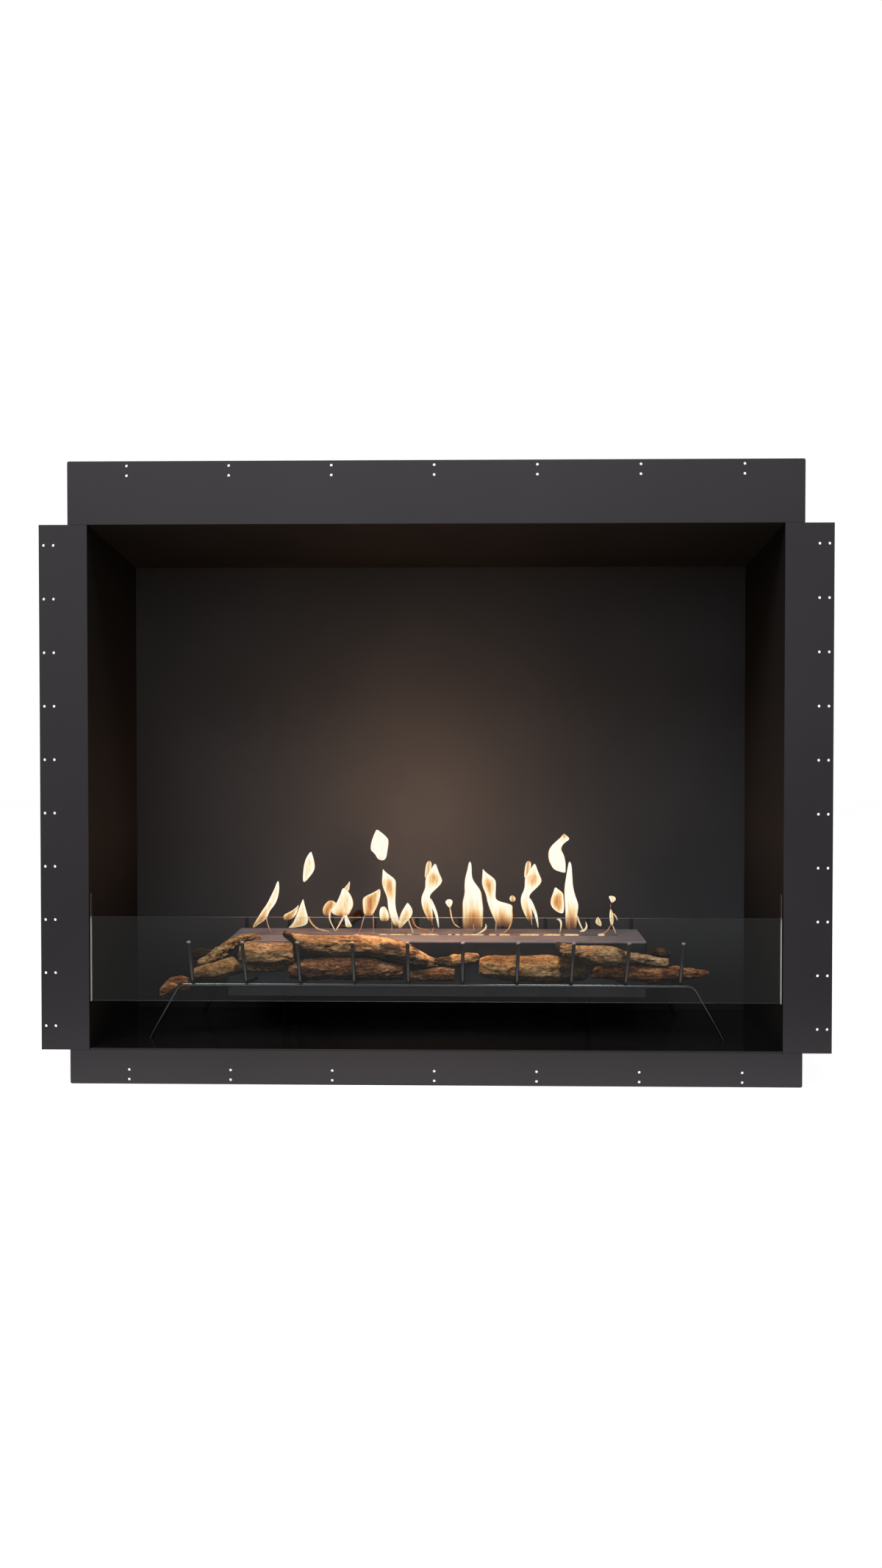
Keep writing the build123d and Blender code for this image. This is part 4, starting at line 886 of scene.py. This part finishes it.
light_flame("flame_16", [
    [(1266, 770.5, 784, 0, 0.8), (1258, 769, 785, 0.25, 0.8), (1249, 768.6, 785.5, 0.6, 0.7),
     (1240, 768.8, 786.5, 0.9, 0.5), (1231, 768.3, 788, 1, 0.3), (1223.5, 767.6, 785, 1, 0.1),
     (1213, 767.4, 781.4, 1, 0), (1203, 768, 779.5, 1, 0), (1192.7, 770, 779, 1, 0),
     (1182.5, 771.7, 778.2, 1, 0), (1175.6, 773, 777.7, 1, 0), (1172, 774.2, 775.4, 0.8, 0)]],
    [([(784.5, 1244, 3.4), (788.8, 1257.6, 2.4), (794, 1267, 1.2)], 0.95, 0.75),
     ([(788, 1267, 1), (795, 1266, 4), (799, 1260.5, 3), (796.5, 1253, 0.8)], 0.95, 0.75),
     ([(774.2, 1250, 1.8), (774.2, 1268, 1)],)])
light_flame("flame_16_lobe", [
    [(1242.6, 763, 766, 0.8, 0.3), (1239.7, 756.3, 767.4, 1, 0.5), (1233.7, 749.6, 768.3, 1, 0.85),
     (1227.7, 748, 768, 1, 1), (1220, 749.6, 767.4, 1, 0.9), (1214, 752.4, 766.6, 1, 0.5),
     (1210, 753.7, 759.7, 1, 0.2), (1207, 755, 756.5, 0.8, 0)]])
light_flame("flame_17", [
    [(1260, 816.6, 818, 0.7, 0.4), (1256, 809.4, 818.7, 0.85, 0.7), (1251.7, 810, 817, 0.85, 0.6),
     (1247.4, 812.3, 814.6, 0.7, 0.4)]],
    [([(757, 1250.5, 1.2), (760.6, 1249.8, 3.6), (763.6, 1254, 3.4), (763.4, 1261, 2.2),
       (761.4, 1269, 1)], 0.95, 0.7)])
light_flame("flame_18", [
    [(1228, 831.8, 833.7, 0.8, 0.5), (1224, 829.8, 838.5, 0.95, 0.5),
     (1221, 828.2, 837.8, 0.95, 0.5), (1218.5, 828, 834.4, 0.8, 0.4)],
    [(1259, 831, 834, 0.7, 0.4), (1251, 829, 835, 0.9, 0.6), (1242, 829.2, 834.4, 0.9, 0.5),
     (1236, 830.3, 831, 0.6, 0.3)]],
    [([(831, 1228, 0.8), (830.4, 1236, 0.9)],),
     ([(833.2, 1241.4, 1.6), (838.3, 1246.5, 2), (840, 1252.5, 0.8)], 0.9, 0.6),
     ([(833, 1258, 2.2), (838.3, 1270.4, 1.1)], 0.9, 0.6),
     ([(831, 1257, 1.6), (827.2, 1266, 1.4), (820.4, 1270, 1.6), (813.5, 1270, 1)], 0.8, 0.3)])
# glowing feet of the flames, flat in the slot
feet = [(483, 489), (515, 528), (530, 551), (553, 561), (572, 597), (609, 615), (619, 626),
        (630, 659), (665, 675), (679, 694), (707, 734), (739, 763), (767, 788), (813, 823)]
light_flame("flame_feet", [], [
    ([(a, SLOT_ROW, 1.2), (a + 2, SLOT_ROW, 3.0), (b - 2, SLOT_ROW, 2.6), (b, SLOT_ROW, 1)],
     0.85, 0.66)
    for a, b in feet])


# ---- floor, light and background -------------------------------------------------------------
# Plain white studio paper: shown white, with the object's soft shadow kept.
paper, tree = start("white_studio_paper")
path = add(tree, "LightPath")
through = add(tree, "Math", {0: path.outputs["Is Camera Ray"],
                             1: path.outputs["Is Transmission Ray"]},
              operation="MAXIMUM")
seen = add(tree, "Math", {0: through.outputs[0], 1: path.outputs["Is Glossy Ray"]},
           operation="MAXIMUM")
lift = add(tree, "Math", {0: seen.outputs[0], 1: 0.94}, operation="MULTIPLY")
sheet = add(tree, "BsdfDiffuse", {"Color": linear("#b4b4b4")})
glow = add(tree, "Emission", {"Color": (1, 1, 1, 1), "Strength": lift.outputs[0]})
both = add(tree, "AddShader", {0: sheet.outputs[0], 1: glow.outputs[0]})
add(tree, "OutputMaterial", {"Surface": both.outputs[0]})

# the floor ends just in front of the flanges, which with the glass mirror little of it there
FLOOR_SIZE, FLOOR_FRONT = 8, -0.15
pick_nothing()
bpy.ops.mesh.primitive_plane_add(size=FLOOR_SIZE,
                                 location=(0, FLOOR_FRONT + FLOOR_SIZE / 2, cad_low.z))
floor = bpy.context.object
floor.name = "studio_floor"
floor.data.materials.append(paper)

world = bpy.data.worlds.new("studio")
bpy.context.scene.world = world
world.use_nodes = True
tree = world.node_tree
tree.nodes.clear()
path = add(tree, "LightPath")
heading = add(tree, "SeparateXYZ", {"Vector": add(tree, "TexCoord").outputs["Generated"]})
# metal and glass mirror the white backdrop behind the object and a dim room in front of it
mirrored = add(tree, "MapRange", {"Value": heading.outputs["Y"], 1: -0.2, 2: 0.2, 3: 0.16, 4: 1.0})
bent = add(tree, "Math", {0: path.outputs["Is Glossy Ray"],
                          1: path.outputs["Is Transmission Ray"]}, operation="MAXIMUM")
soft = add(tree, "Mix", {"Factor": bent.outputs[0], 2: 0.1, 3: mirrored.outputs[0]})
level = add(tree, "Math", {0: path.outputs["Is Camera Ray"], 1: soft.outputs[0]},
            operation="MAXIMUM")
sky = add(tree, "Background", {"Color": (1, 1, 1, 1), "Strength": level.outputs[0]})
add(tree, "OutputWorld", {"Surface": sky.outputs[0]})


def hang_lamp(name, place, aim, size, watts, colour="#ffffff", size_y=None):
    """Soft rectangular lamp pointed at a place."""
    lamp = bpy.data.lights.new(name, "AREA")
    lamp.shape = "RECTANGLE"
    lamp.size = size
    lamp.size_y = size_y or size
    lamp.energy = watts
    lamp.color = linear(colour)[:3]
    holder = bpy.data.objects.new(name, lamp)
    bpy.context.collection.objects.link(holder)
    holder.location = place
    holder.rotation_euler = (Vector(aim) - Vector(place)).to_track_quat("-Z", "Y").to_euler()
    return holder


hang_lamp("key_lamp", (-1.3, -1.9, 2.8), (0, 0.05, -0.2), 1.5, 58)
hang_lamp("top_lamp", (0.35, -1.0, 2.4), (0.1, 0.1, -0.3), 0.45, 14)
hang_lamp("fill_lamp", (0.3, -3.0, 1.2), (0, 0.1, -0.05), 1.2, 9)

# warm light of the flames on the walls, the burner and the logs
flame_light = bpy.data.lights.new("flame_lamp", "POINT")
flame_light.energy = 4.0
flame_light.color = linear("#ffc496")[:3]
flame_light.shadow_soft_size = 0.05
flame_lamp = bpy.data.objects.new("flame_lamp", flame_light)
bpy.context.collection.objects.link(flame_lamp)
flame_lamp.location = (-0.03, 0.06, -0.05)
# the glow of the slot on the top plate
slot_lamp = hang_lamp("slot_lamp", (-0.04, 0.187, -0.2), (-0.04, 0.187, -0.26), 0.5, 0.3,
                      "#ff9a58", size_y=0.04)
# neither lamp shows in the glass or in shiny metal
for lamp in (flame_lamp, slot_lamp):
    lamp.visible_glossy = lamp.visible_transmission = False

bpy.context.scene.view_settings.view_transform = "Standard"
